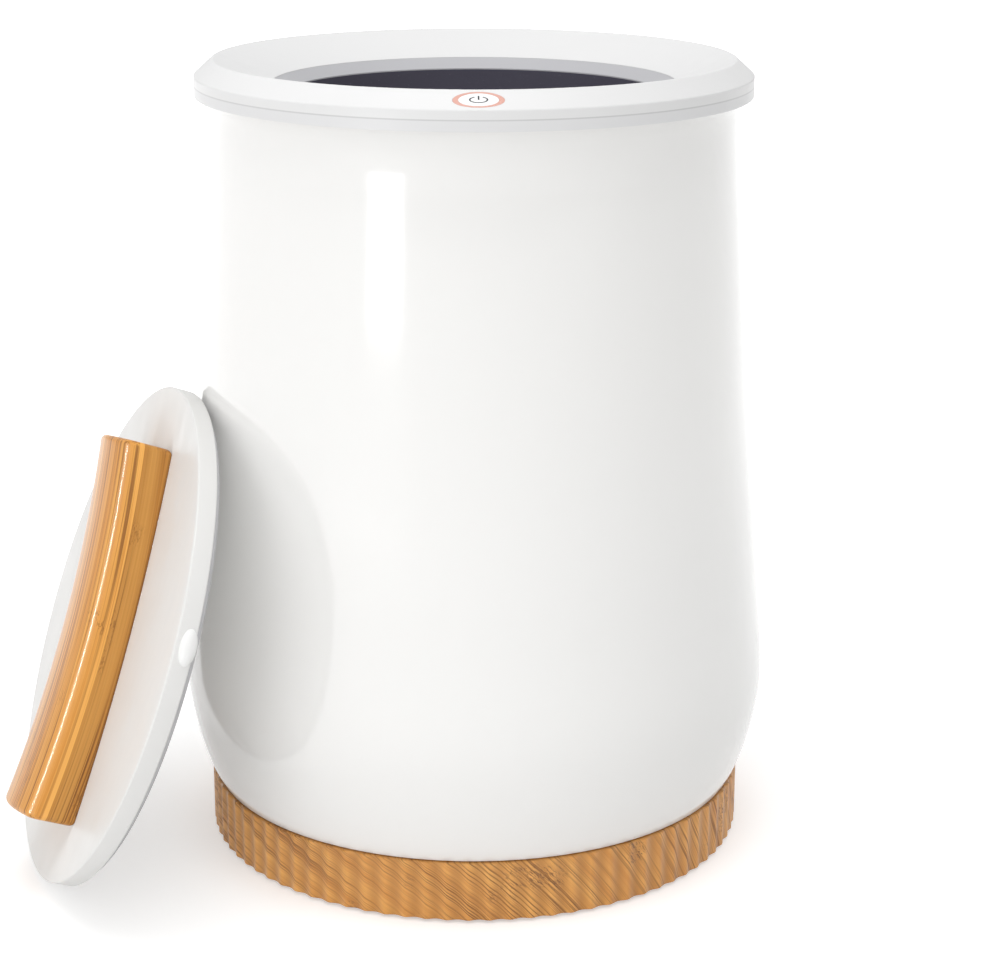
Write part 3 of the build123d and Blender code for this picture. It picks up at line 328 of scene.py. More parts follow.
class ButtonSettings(bpy.types.PropertyGroup):
    """Colours of the power button."""

    ring_colour: FloatVectorProperty(
        name="Ring colour",
        description="Lit ring round the button",
        subtype="COLOR",
        default=(0.66, 0.36, 0.30),
    )
    sign_colour: FloatVectorProperty(
        name="Sign colour",
        description="Power sign on the button",
        subtype="COLOR",
        default=(0.035, 0.035, 0.04),
    )
    ring_glow: FloatProperty(
        name="Ring glow",
        description="Light given off by the ring",
        default=0.08,
        min=0.0,
        max=5.0,
    )


class ChamberSettings(bpy.types.PropertyGroup):
    """Coating of the heated chamber, darkened under its mouth with painted shade."""

    # painted shade: the upper colour is the coating darkened under the chamber's mouth
    shaded_upper_colour: FloatVectorProperty(
        name="Upper coating",
        description="Dark coating under the chamber's mouth",
        subtype="COLOR",
        default=(0.070, 0.066, 0.092),
    )
    lower_colour: FloatVectorProperty(
        name="Lower coating",
        description="Coating further down the chamber's wall",
        subtype="COLOR",
        default=(0.17, 0.165, 0.21),
    )


class StageSettings(bpy.types.PropertyGroup):
    """Camera, floor and lamps."""

    lens: FloatProperty(
        name="Lens",
        description="Focal length of the camera on a 36 mm sensor, in millimetres",
        default=86.38,
        min=10.0,
        max=300.0,
    )
    camera_place: FloatVectorProperty(
        name="Camera place",
        description="Where the camera stands",
        subtype="TRANSLATION",
        unit="LENGTH",
        default=(-0.0169, -1.2130, 0.5480),
    )
    camera_pitch: FloatProperty(
        name="Camera pitch",
        description="How far the camera looks down",
        subtype="ANGLE",
        default=math.radians(16.61),
    )
    camera_yaw: FloatProperty(
        name="Camera yaw",
        description="How far the camera is turned to the left",
        subtype="ANGLE",
        default=math.radians(-1.43),
    )
    camera_roll: FloatProperty(
        name="Camera roll",
        description="How far the camera is tipped",
        subtype="ANGLE",
        default=math.radians(0.143),
    )
    floor_colour: FloatVectorProperty(
        name="Floor colour",
        description="Colour of the pale floor",
        subtype="COLOR",
        default=(0.80, 0.80, 0.80),
    )
    floor_glow: FloatProperty(
        name="Floor glow",
        description="How much the floor near the bucket is lifted towards white",
        default=0.42,
        min=0.0,
        max=1.0,
    )
    room_light: FloatProperty(
        name="Room light",
        description="Strength of the even light from all round",
        default=0.61,
        min=0.0,
        max=2.0,
    )
    mirrored_room: FloatProperty(
        name="Mirrored room",
        description="Brightness of the room as glossy surfaces mirror it",
        default=0.82,
        min=0.0,
        max=2.0,
    )


GROUPS = {
    "bucket_casing": CasingSettings,
    "bucket_bamboo": BambooSettings,
    "bucket_ring": RingSettings,
    "bucket_lid": LidSettings,
    "bucket_button": ButtonSettings,
    "bucket_chamber": ChamberSettings,
    "bucket_stage": StageSettings,
}


# ---- finishes

SATIN = 3.2             # roughness of the satin whites, as a multiple of the polished shell's
COARSE_GRAIN = 0.00006  # depth of a spark-eroded skin, in metres
HALF_WIRE_PITCH = 0.006     # of the heating mat's winding, in metres
WIRE_RADIUS = 0.0012
# painted shade: above this share the coating darkens towards the mouth
MOUTH_SHADE_START = 0.60     # share of the chamber's height under which its coating has its lower colour

# waves per metre of the bamboo's noises: along, across and into the fibres
BAND_WAVES = (4, 160, 160)
FIBRE_WAVES = (9, 1500, 1500)
VESSEL_WAVES = (6, 1050, 1050)
BUNDLE_WAVES = (7, 90, 90)
KNOT_WAVES = (260, 1100, 1100)
SIDE_SPOT_WAVES = (24, 60, 60)
RING_SPOT_WAVES = (34, 42, 20)

BAND_SHARE = 1.1        # weight of the soft bands in the wood's tone
FIBRE_SHARE = 0.75      # and of its fibres
STRIP_SHIFT = 0.37      # how far each strip of the handle's top is shifted along the one beside it
KNOT_REACH = 0.085      # how far from the handle's middle a knot can lie

# the handle's pale lamination, measured from the top of its flat side
LAMINATION_TOP = -0.0002
LAMINATION_LOW = -0.0026
LAMINATION_BLUR = 0.0001

# slope of the ring's fibres, as a sine, its change to each side, and their run, as a cosine
RING_SLOPE = 0.68
RING_SLOPE_CHANGE = 0.30
RING_RUN = 0.62
RING_DEPTH_SHARE = 0.02     # share of the radius in the grain: more would break it up at the ridges

WOOD_SMOOTHING = math.radians(50)
COVER_SMOOTHING = math.radians(40)
QUARTERS = (0.25, 0.5, 0.75)

Tones = namedtuple("Tones", "pale honey brown")


class Nodes:
    """Adds nodes to a node tree and links them."""

    def __init__(self, tree):
        self.tree = tree

    def node(self, kind, inputs=(), **settings):
        """A new node, with its settings, and its inputs' values or links, by name or in order."""
        made = self.tree.nodes.new("ShaderNode" + kind)
        for name, value in settings.items():
            setattr(made, name, value)
        for name, value in inputs.items() if isinstance(inputs, dict) else enumerate(inputs):
            self.feed(made.inputs[name], value)
        return made

    def feed(self, socket, value):
        """Give a socket a value, or the link that it comes from."""
        if isinstance(value, bpy.types.NodeSocket):
            self.tree.links.new(value, socket)
        else:
            socket.default_value = value

    def place(self):
        """Coordinates in the object's own space, in metres."""
        return self.node("TexCoord").outputs["Object"]

    def noise(self, vector, waves, detail=3.0, roughness=0.5, distortion=0.0):
        """Soft noise between 0 and 1, with one count of waves per metre or one for each direction."""
        if isinstance(waves, tuple):
            vector = self.node("Mapping", {"Vector": vector, "Scale": waves}).outputs["Vector"]
            waves = 1.0
        inputs = {
            "Vector": vector,
            "Scale": waves,
            "Detail": detail,
            "Roughness": roughness,
            "Distortion": distortion,
        }
        return self.node("TexNoise", inputs).outputs["Fac"]

    def remap(self, value, low, high, new_low=0.0, new_high=1.0):
        """A value moved from one range to another, and kept inside it."""
        return self.node("MapRange", (value, low, high, new_low, new_high)).outputs["Result"]

    def math(self, operation, first, second=0.0, third=0.0):
        """One sum."""
        return self.node("Math", (first, second, third), operation=operation).outputs["Value"]

    def apart(self, first, second):
        """How far two values lie apart."""
        return self.math("ABSOLUTE", self.math("SUBTRACT", first, second))

    def split(self, vector):
        """The three parts of a vector."""
        return self.node("SeparateXYZ", (vector,)).outputs

    def joined(self, x, y, z):
        """A vector from its three parts."""
        return self.node("CombineXYZ", (x, y, z)).outputs["Vector"]

    def blend(self, factor, first, second):
        """One colour turning into another."""
        made = self.node("Mix", {"Factor": factor}, data_type="RGBA")
        for socket, colour in zip(made.inputs[6:8], (first, second)):
            self.feed(socket, (*colour, 1.0) if isinstance(colour, tuple) else colour)
        return made.outputs[2]


class Finish(Nodes):
    """A procedural material, built up node by node."""

    def __init__(self, name, colour, roughness, metallic=0.0, coat=0.0, coat_roughness=0.05, specular=0.5):
        self.material = bpy.data.materials.new(name)
        self.material.use_nodes = True
        super().__init__(self.material.node_tree)
        self.shader = self.tree.nodes["Principled BSDF"]
        values = {
            "Base Color": (*colour, 1.0),
            "Roughness": roughness,
            "Metallic": metallic,
            "Coat Weight": coat,
            "Coat Roughness": coat_roughness,
            "Specular IOR Level": specular,
        }
        for name, value in values.items():
            self.feed(self.shader.inputs[name], value)

    def paint(self, colour):
        """Take the base colour from a link."""
        self.feed(self.shader.inputs["Base Color"], colour)

    def mottle(self, pattern, colour, dark, light):
        """Paint a colour that wavers between a darker and a lighter share of it."""
        self.paint(self.blend(pattern, shaded(colour, dark), shaded(colour, light)))

    def polish(self, pattern, low, high, smooth, rough):
        """Let the roughness follow a pattern."""
        self.feed(self.shader.inputs["Roughness"], self.remap(pattern, low, high, smooth, rough))

    def glow(self, colour, strength):
        """Let the surface give off light of its own."""
        self.feed(self.shader.inputs["Emission Color"], (*colour, 1.0))
        self.feed(self.shader.inputs["Emission Strength"], strength)

    def relief(self, height, depth, over=None):
        """Raise the surface by a height between 0 and 1 times a depth in metres."""
        inputs = {"Height": height, "Distance": depth, "Strength": 1.0}
        if over:
            inputs["Normal"] = over
        normal = self.node("Bump", inputs).outputs["Normal"]
        self.feed(self.shader.inputs["Normal"], normal)
        return normal


def shaded(colour, share):
    """A colour made darker or lighter."""
    return tuple(min(part * share, 1.0) for part in colour)


def moulded_finish(name, colour, roughness, grain=0.00002, glow=0.0):
    """Moulded plastic: faint clouding, uneven polish and a fine skin. It can give off some light."""
    finish = Finish(name, colour, roughness)
    place = finish.place()
    finish.mottle(finish.noise(place, waves=9.0, detail=2.0), colour, dark=0.96, light=1.02)
    rubbed = finish.noise(place, waves=60.0, detail=5.0, roughness=0.6)
    finish.polish(rubbed, 0.3, 0.7, roughness * 0.85, roughness * 1.2)
    finish.relief(finish.noise(place, waves=1400.0, detail=2.0), depth=grain)
    if glow:
        finish.glow(colour, glow)
    return finish.material


def gloss_casing_finish(name, colour, roughness, coat=0.25, specular=0.5):
    """Polished white shell: mirror skin with a long, slow waviness and faint rub marks."""
    finish = Finish(name, colour, roughness, coat=coat, coat_roughness=0.03, specular=specular)
    place = finish.place()
    finish.mottle(finish.noise(place, waves=4.0, detail=2.0), colour, dark=0.985, light=1.01)
    rubbed = finish.noise(place, waves=(90.0, 90.0, 22.5), detail=6.0, roughness=0.65)
    finish.polish(rubbed, 0.35, 0.75, roughness, roughness * 1.6)
    skin = finish.relief(finish.noise(place, waves=22.0, detail=1.0), depth=0.00006)
    finish.relief(finish.noise(place, waves=900.0, detail=1.0), depth=0.000002, over=skin)
    return finish.material


def rim_finish(name, colour, roughness, seam):
    """Satin white rim, with painted shade in the thin joint between its two rings."""
    finish = Finish(name, colour, roughness)
    place = finish.place()
    clouds = finish.noise(place, waves=5.0, detail=2.0)
    white = finish.blend(clouds, shaded(colour, 0.985), shaded(colour, 1.01))
    # painted shade: the rim is darkened in a thin line along the joint between its two rings
    joint = finish.apart(finish.split(place)["Z"], seam)
    shadow = finish.remap(joint, 0.0001, 0.0005, 0.35, 0.0)
    finish.paint(finish.blend(shadow, white, shaded(colour, 0.35)))
    rubbed = finish.noise(place, waves=70.0, detail=6.0, roughness=0.65)
    finish.polish(rubbed, 0.35, 0.75, roughness * 0.9, roughness * 1.3)
    finish.relief(finish.noise(place, waves=1300.0, detail=2.0), depth=0.00001)
    return finish.material


def steel_finish(name, colour, roughness):
    """Plated steel or turned brass with a fine grain and dull patches."""
    finish = Finish(name, colour, roughness, metallic=1.0)
    place = finish.place()
    patches = finish.noise(place, waves=220.0, detail=4.0)
    finish.mottle(patches, colour, dark=0.82, light=1.1)
    finish.polish(patches, 0.3, 0.7, roughness * 0.7, roughness * 1.3)
    finish.relief(finish.noise(place, waves=(1500.0, 1500.0, 9000.0)), depth=0.00002)
    return finish.material


def felt_finish(name, colour):
    """Needled felt with tangled fibres."""
    finish = Finish(name, colour, 0.95)
    tangle = finish.noise(finish.place(), waves=700.0, detail=8.0, roughness=0.7, distortion=1.5)
    finish.mottle(tangle, colour, dark=0.6, light=1.15)
    finish.relief(tangle, depth=0.0006)
    return finish.material


def foil_finish(name, colour):
    """Foil-faced heating mat with the winding wire showing through."""
    finish = Finish(name, colour, 0.3, metallic=1.0)
    place = finish.place()
    wire = finish.math("PINGPONG", finish.split(place)["Z"], HALF_WIRE_PITCH)
    creases = finish.noise(place, waves=120.0, detail=5.0, roughness=0.7)
    finish.mottle(creases, colour, dark=0.75, light=1.1)
    skin = finish.relief(finish.remap(wire, 0.0, WIRE_RADIUS, 1.0, 0.0), depth=0.0006)
    finish.relief(creases, depth=0.0003, over=skin)
    return finish.material


def board_finish(name, colour):
    """Circuit board: solder mask over copper tracks."""
    finish = Finish(name, colour, 0.35)
    inputs = {
        "Vector": finish.place(),
        "Scale": 160.0,
        "Mortar Size": 0.08,
        "Color1": (*shaded(colour, 0.9), 1.0),
        "Color2": (*colour, 1.0),
        "Mortar": (*shaded(colour, 1.7), 1.0),
    }
    tracks = finish.node("TexBrick", inputs).outputs
    finish.paint(tracks["Color"])
    finish.relief(tracks["Fac"], depth=0.00004)
    return finish.material


def rubber_finish(name, colour):
    """Soft rubber with a bloom and a fine texture."""
    finish = Finish(name, colour, 0.6)
    place = finish.place()
    bloom = finish.noise(place, waves=45.0, detail=5.0, roughness=0.6)
    finish.mottle(bloom, colour, dark=0.9, light=1.15)
    finish.polish(bloom, 0.3, 0.7, 0.5, 0.72)
    finish.relief(finish.noise(place, waves=1800.0, detail=2.0), depth=0.00003)
    return finish.material


def chamber_finish(name, upper, lower, bottom, top):
    """Dark non-stick coating, lighter towards the bottom and darkened towards the mouth with painted shade,
    with a fine orange peel.
    """
    finish = Finish(name, upper, 0.42)
    place = finish.place()
    # painted shade: the coating blends from its lower colour to the darker upper colour towards the mouth
    coat = finish.blend(finish.remap(finish.split(place)["Z"], bottom, top), lower, upper)
    specks = finish.remap(finish.noise(place, waves=900.0, roughness=0.7), 0.66, 0.72)
    finish.paint(finish.blend(finish.math("MULTIPLY", specks, 0.35), coat, shaded(lower, 1.6)))
    wiped = finish.noise(place, waves=(40.0, 40.0, 8.0), detail=5.0)
    finish.polish(wiped, 0.3, 0.7, 0.36, 0.52)
    finish.relief(finish.noise(place, waves=600.0), depth=0.00008)
    return finish.material


def tones_of(bamboo):
    """The three tones of the bamboo settings."""
    return Tones(tuple(bamboo.pale), tuple(bamboo.honey), tuple(bamboo.brown))


def bamboo_fibres(finish, fibre, tones, lean=0.0):
    """Long fibres, thin dark vessels in bundles, and soft bands, over coordinates along the fibres."""
    bands = finish.noise(fibre, BAND_WAVES, detail=2.0)
    fibres = finish.noise(fibre, FIBRE_WAVES, roughness=0.65)
    vessels = finish.noise(fibre, VESSEL_WAVES, roughness=0.55)
    bundles = finish.noise(fibre, BUNDLE_WAVES, detail=1.0, roughness=0.4)
    tone = finish.math("MULTIPLY_ADD", bands, BAND_SHARE, lean)
    tone = finish.math("MULTIPLY_ADD", fibres, FIBRE_SHARE, tone)
    wood = finish.blend(finish.remap(tone, 0.62, 1.2), tones.honey, tones.pale)
    lines = finish.remap(vessels, 0.50, 0.62, 0.0, 0.85)
    lines = finish.math("MULTIPLY", lines, finish.remap(bundles, 0.38, 0.56, 0.30, 1.0))
    return finish.blend(lines, wood, tones.brown), fibres, lines


def bamboo_knots(finish, fibre, gate):
    """Dashes that swirl around a bamboo node, where a gate lets them through."""
    swirl = finish.noise(fibre, KNOT_WAVES, roughness=0.6, distortion=1.2)
    return finish.math("MULTIPLY", gate, finish.remap(swirl, 0.52, 0.62))


def handle_top(finish, grain, tones, strip_width):
    """Glued strips, each with its own tone and its own place for a knot. Returns colour and fibres."""
    along, across, height = grain
    strip = finish.math("FLOOR", finish.math("DIVIDE", across, strip_width))
    chance = finish.node("TexWhiteNoise", {"W": strip}, noise_dimensions="1D").outputs["Value"]
    shift = finish.math("MULTIPLY_ADD", strip, STRIP_SHIFT, along)
    fibre = finish.joined(shift, across, finish.math("MULTIPLY", height, 0.6))
    lean = finish.math("MULTIPLY_ADD", chance, 0.32, -0.14)
    wood, fibres, _ = bamboo_fibres(finish, fibre, tones, lean)
    knot_place = finish.math("MULTIPLY_ADD", chance, 2 * KNOT_REACH, -KNOT_REACH)
    gate = finish.remap(finish.apart(along, knot_place), 0.0015, 0.0060, 0.5, 0.0)
    return finish.blend(bamboo_knots(finish, fibre, gate), wood, tones.brown), fibres


def handle_side(finish, fibre, tones):
    """The darker flat side, with swirling figure in places. Returns colour and fibres."""
    dark = Tones(shaded(tones.pale, 0.80), shaded(tones.honey, 0.74), shaded(tones.brown, 0.8))
    wood, fibres, _ = bamboo_fibres(finish, fibre, dark)
    spots = finish.noise(fibre, SIDE_SPOT_WAVES, detail=1.0, roughness=0.4)
    figure = bamboo_knots(finish, fibre, finish.remap(spots, 0.55, 0.66, 0.0, 0.9))
    return finish.blend(figure, wood, shaded(tones.brown, 0.9)), fibres


def above(finish, height, level):
    """1 above a level of the handle and 0 below it, with a slightly soft edge."""
    return finish.remap(height, level - LAMINATION_BLUR, level + LAMINATION_BLUR)


def handle_finish(name, bamboo, side_height, foot_shade_curve):
    """Lacquered bamboo: strips along the top, a pale lamination, figured flat sides, and painted shade
    along the foot.
    """
    tones = tones_of(bamboo)
    finish = Finish(name, tones.honey, 0.35, coat=0.3, coat_roughness=bamboo.lacquer, specular=0.2)
    grain = finish.split(finish.node("Attribute", attribute_name="grain").outputs["Vector"])
    along, across, height = grain
    top, fibres = handle_top(finish, grain, tones, bamboo.strip_width)
    side_fibre = finish.joined(along, finish.math("MULTIPLY", across, 0.3), height)
    side, side_fibres = handle_side(finish, side_fibre, tones)
    pale = Tones(shaded(tones.pale, 1.12), shaded(tones.pale, 0.92), tones.honey)
    lamination, _, _ = bamboo_fibres(finish, side_fibre, pale, 0.2)

    wood = finish.blend(above(finish, height, LAMINATION_LOW), side, lamination)
    wood = finish.blend(above(finish, height, LAMINATION_TOP), wood, top)
    # painted shade: the wood darkens towards the foot, where the handle meets the dished lid
    foot = finish.math("ADD", height, side_height)
    foot = finish.math("MULTIPLY_ADD", finish.math("MULTIPLY", along, along), foot_shade_curve, foot)
    wood = finish.blend(finish.remap(foot, 0.0002, 0.0016, 0.75, 0.0), wood, shaded(tones.brown, 0.6))
    glue = finish.remap(finish.apart(height, LAMINATION_LOW), 0.00005, 0.00016, 0.35, 0.0)
    finish.paint(finish.blend(glue, wood, tones.honey))
    finish.relief(finish.math("ADD", fibres, side_fibres), depth=0.00001)
    return finish.material


def ring_fibres(finish, place, out, radius):
    """Coordinates along and across fibres whose slope grows from the ring's left side to its right."""
    x, y, z = place
    turn = finish.math("ARCTAN2", x, finish.math("MULTIPLY", y, -1.0))
    cosine = finish.math("COSINE", turn)
    steep = finish.math("MULTIPLY_ADD", finish.math("SINE", turn), RING_SLOPE_CHANGE, RING_SLOPE)
    flat = finish.math("SQRT", finish.math("SUBTRACT", 1.0, finish.math("MULTIPLY", steep, steep)))
    rising = finish.math("MULTIPLY", turn, RING_SLOPE * radius)
    rising = finish.math("MULTIPLY_ADD", cosine, -RING_SLOPE_CHANGE * radius, rising)
    across = finish.math("MULTIPLY_ADD", z, flat, rising)
    running = finish.math("MULTIPLY", turn, RING_RUN * radius)
    running = finish.math("MULTIPLY_ADD", cosine, RING_SLOPE_CHANGE * radius, running)
    along = finish.math("MULTIPLY_ADD", finish.math("MULTIPLY", z, steep), -1.0, running)
    return finish.joined(along, across, finish.math("MULTIPLY", out, RING_DEPTH_SHARE))


def ring_finish(name, bamboo, radius, ridge_depth):
    """Oiled bamboo whose fibres wind aslant around the reeded ring, from a joint at its back, with painted
    shade in the valleys between its ridges.
    """
    tones = tones_of(bamboo)
    finish = Finish(name, tones.honey, 0.42, coat=0.35, coat_roughness=0.22)
    place = finish.split(finish.place())
    x, y, _ = place
    square = finish.math("MULTIPLY_ADD", x, x, finish.math("MULTIPLY", y, y))
    out = finish.math("SQRT", square)
    fibre = ring_fibres(finish, place, out, radius)
    wood, fibres, lines = bamboo_fibres(finish, fibre, tones, -0.04)
    # painted shade: the wood is darkened in the valleys between the ridges
    valley = finish.remap(out, radius - ridge_depth, radius - 0.15 * ridge_depth, 0.5, 0.0)
    wood = finish.blend(valley, wood, shaded(tones.honey, 0.62))
    spots = finish.noise(fibre, RING_SPOT_WAVES, detail=1.0, roughness=0.4)
    knots = bamboo_knots(finish, fibre, finish.remap(spots, 0.60, 0.68, 0.0, 0.85))
    finish.paint(finish.blend(knots, wood, shaded(tones.brown, 0.8)))
    finish.polish(lines, 0.0, 0.8, 0.40, 0.62)
    finish.relief(finish.math("MULTIPLY_ADD", lines, -0.8, fibres), depth=0.00012)
    return finish.material


# ---- helpers for the pieces


def finish_nodes(material, *names):
    """Give some CAD nodes one material."""
    for name in names:
        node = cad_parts[name]
        if not node.material_slots:
            node.data.materials.append(material)
        for slot in node.material_slots:
            slot.material = material


def finish_table(rows):
    """Make each finish of a table and give it to its CAD nodes."""
    for make, name, colour, values, nodes in rows:
        finish_nodes(make(name, colour, *values), *nodes)


def mesh_piece(name, shape, material, smooth_angle):
    """A new object from a bmesh, shaded smooth up to an angle."""
    mesh = bpy.data.meshes.new(name)
    bmesh.ops.recalc_face_normals(shape, faces=shape.faces)
    shape.to_mesh(mesh)
    shape.free()
    mesh.materials.append(material)
    piece = bpy.data.objects.new(name, mesh)
    bpy.context.scene.collection.objects.link(piece)
    for face in mesh.polygons:
        face.use_smooth = True
    mesh.set_sharp_from_angle(angle=smooth_angle)
    return piece


def skin(rings, closed=False):
    """A bmesh that joins rings of points, each ring closed on itself."""
    shape = bmesh.new()
    rows = [[shape.verts.new(point) for point in ring] for ring in rings]
    if closed:
        rows.append(rows[0])
    for row, following in zip(rows, rows[1:]):
        for index in range(len(row)):
            corners = (row[index - 1], row[index], following[index], following[index - 1])
            shape.faces.new(corners)
    return shape


def arc(middle, radius, start, end, steps):
    """Points of an arc in a section, with its angles in degrees."""
    turns = (math.radians(start + (end - start) * step / steps) for step in range(steps + 1))
    return [(middle[0] + radius * math.cos(t), middle[1] + radius * math.sin(t)) for t in turns]


def settings(group):
    """One of the scene's setting groups."""
    return getattr(bpy.context.scene, group)


def dish_sphere(lid):
    """Radius of the dish's sphere, and the height of its middle in the lid's own directions."""
    reach = COVER_HIGH.x - lid.dish_margin
    radius = (reach**2 + lid.dish_depth**2) / (2 * lid.dish_depth)
    return radius, COVER_HIGH.z - lid.dish_depth + radius


def dish_height(lid, x, y=0.0):
    """Height of the dish at a place in the lid's own directions."""
    radius, middle = dish_sphere(lid)
    return middle - math.sqrt(radius**2 - x**2 - y**2)


# ---- finishes of the hidden pieces

# maker of the finish, its name, its colour, its roughness and grain if it takes them, and its CAD nodes
LID_INSIDES = (
    (moulded_finish, "lid liner white", (0.74, 0.74, 0.73), (0.4,), ("lid_liner",)),
    (rubber_finish, "grey silicone", (0.50, 0.50, 0.51), (), ("lid_gasket",)),
    (gloss_casing_finish, "white bumper", (0.86, 0.86, 0.85), (0.12,), ("lid_bumper",)),
)

UNDERSIDE = (
    (moulded_finish, "base grey", (0.42, 0.42, 0.42), (0.5, COARSE_GRAIN), ("base_plate",)),
    (rubber_finish, "foot rubber", (0.045, 0.045, 0.047), (), ("foot_ring",)),
    (moulded_finish, "gland black", (0.03, 0.03, 0.032), (0.4,), ("cord_gland", "gland_nut")),
)

STEEL_PIECES = (
    "rim_screws",
    "base_screws",
    "board_screws",
    "control_board_screws",
    "liner_screws",
    "handle_screws",
    "sensor_bracket",
    "bracket_nuts",
    "thermal_fuse",
)
FELT_PIECES = ("insulation_sleeve", "insulation_pad", "lid_insulation")
WHITE_PIECES = ("button_housing", "ribbon_socket", "ribbon_clips")

INNER_WORKS = (
    (steel_finish, "zinc plated steel", (0.60, 0.60, 0.61), (0.32,), STEEL_PIECES),
    (steel_finish, "brass", (0.70, 0.48, 0.20), (0.3,), ("handle_inserts",)),
    (foil_finish, "heater foil", (0.72, 0.72, 0.73), (), ("heating_band",)),
    (felt_finish, "grey felt", (0.60, 0.59, 0.55), (), FELT_PIECES),
    (moulded_finish, "ceramic", (0.75, 0.73, 0.68), (0.5,), ("thermostat", "fuse_holder")),
    (board_finish, "green board", (0.02, 0.16, 0.06), (), ("control_board", "power_board")),
    (moulded_finish, "component black", (0.02, 0.02, 0.022), (0.45,), ("tact_switch", "switch_plunger")),
    (moulded_finish, "relay blue", (0.02, 0.07, 0.30), (0.3,), ("power_relay",)),
    (moulded_finish, "capacitor yellow", (0.66, 0.46, 0.04), (0.3,), ("film_capacitor",)),
    (moulded_finish, "terminal green", (0.02, 0.20, 0.08), (0.4,), ("terminal_block",)),
    (moulded_finish, "lamp lens", (0.75, 0.40, 0.34), (0.1,), ("indicator_leds",)),
    (moulded_finish, "ribbon grey", (0.35, 0.36, 0.40), (0.5,), ("control_ribbon",)),
    (moulded_finish, "inner white", (0.66, 0.66, 0.64), (0.5, COARSE_GRAIN), WHITE_PIECES),
    (rubber_finish, "red silicone", (0.35, 0.02, 0.015), (), ("heater_leads",)),
)


# ---- pieces


class BUCKET_OT_casing(bpy.types.Operator):
    """Finish the bellied shell and the two rings of the rim"""

    bl_idname = "bucket.casing"
    bl_label = "White casing"

    def execute(self, context):
        casing = settings("bucket_casing")
        satin = casing.gloss * SATIN
        shell = gloss_casing_finish("polished white shell", casing.body_colour[:], casing.gloss)
        collar = rim_finish("satin white collar", casing.rim_colour[:], satin, COLLAR_HIGH.z)
        bezel = rim_finish("satin white bezel", casing.bezel_colour[:], satin, COLLAR_HIGH.z)
        finish_nodes(shell, "outer_shell")
        finish_nodes(collar, "rim_collar")
        finish_nodes(bezel, "rim_bezel")
        return {"FINISHED"}


class BUCKET_OT_chamber(bpy.types.Operator):
    """Finish the heated chamber and the grey lip above it"""

    bl_idname = "bucket.chamber"
    bl_label = "Heated chamber"

    def execute(self, context):
        chamber = settings("bucket_chamber")
        lip = moulded_finish("grey lip", settings("bucket_casing").lip_colour[:], 0.35)
        coat = chamber_finish(
            "dark non-stick coating",
            chamber.shaded_upper_colour[:],
            chamber.lower_colour[:],
            CHAMBER_LOW.z + MOUTH_SHADE_START * (CHAMBER_HIGH.z - CHAMBER_LOW.z),
            CHAMBER_HIGH.z,
        )
        finish_nodes(lip, "mouth_ring")
        finish_nodes(coat, "inner_bucket")
        return {"FINISHED"}


class BUCKET_OT_button(bpy.types.Operator):
    """Finish the power button, its lit ring and its sign"""

    bl_idname = "bucket.button"
    bl_label = "Power button"

    def execute(self, context):
        button = settings("bucket_button")
        ring = moulded_finish("lit salmon ring", button.ring_colour[:], 0.3, glow=button.ring_glow)
        finish_nodes(ring, "light_ring")
        finish_nodes(moulded_finish("button white", (0.90, 0.90, 0.90), 0.18), "button_cap")
        finish_nodes(moulded_finish("power sign", button.sign_colour[:], 0.4), "power_symbol")
        return {"FINISHED"}


class BUCKET_OT_bamboo_ring(bpy.types.Operator):
    """Model the reeded bamboo ring under the shell"""

    bl_idname = "bucket.bamboo_ring"
    bl_label = "Bamboo ring"
    ease_steps = 4
    steps_per_ridge = 12
    bluntness = 1.6     # of a ridge: 1 for plain half waves, more for wide ridges and narrow valleys

    def execute(self, context):
        ring = settings("bucket_ring")
        shape = skin([self.circle(ring, *corner) for corner in self.outline(ring)], closed=True)
        finish = ring_finish("oiled bamboo ring", settings("bucket_bamboo"), RING_HIGH.x, ring.ridge_depth)
        piece = mesh_piece("reeded_bamboo_ring", shape, finish, WOOD_SMOOTHING)
        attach(piece, "bucket")
        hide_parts("base_ring")
        return {"FINISHED"}

    def outline(self, ring):
        """The wall's section: radius, height, and how much of the reeding each corner has."""
        low, high, ease, outer = RING_LOW.z, RING_HIGH.z, ring.eased_edge, RING_HIGH.x
        section = arc((outer - ease, low + ease), ease, -90, 0, self.ease_steps)
        section += [(outer, low + (high - low) * share) for share in QUARTERS]
        section += arc((outer - ease, high - ease), ease, 0, 90, self.ease_steps)
        inner = outer - ring.wall
        return [(*corner, 1.0) for corner in section] + [(inner, high, 0.0), (inner, low, 0.0)]

    def circle(self, ring, outer, height, reeding):
        """One closed line around the ring, with soft convex ridges."""
        points = []
        for step in range(ring.ridge_count * self.steps_per_ridge):
            ridge = step / self.steps_per_ridge
            valley = abs(math.cos(math.pi * ridge)) ** self.bluntness
            radius = outer - reeding * ring.ridge_depth * valley
            turn = 2 * math.pi * ridge / ring.ridge_count
            points.append(Vector((radius * math.cos(turn), radius * math.sin(turn), height)))
        return points


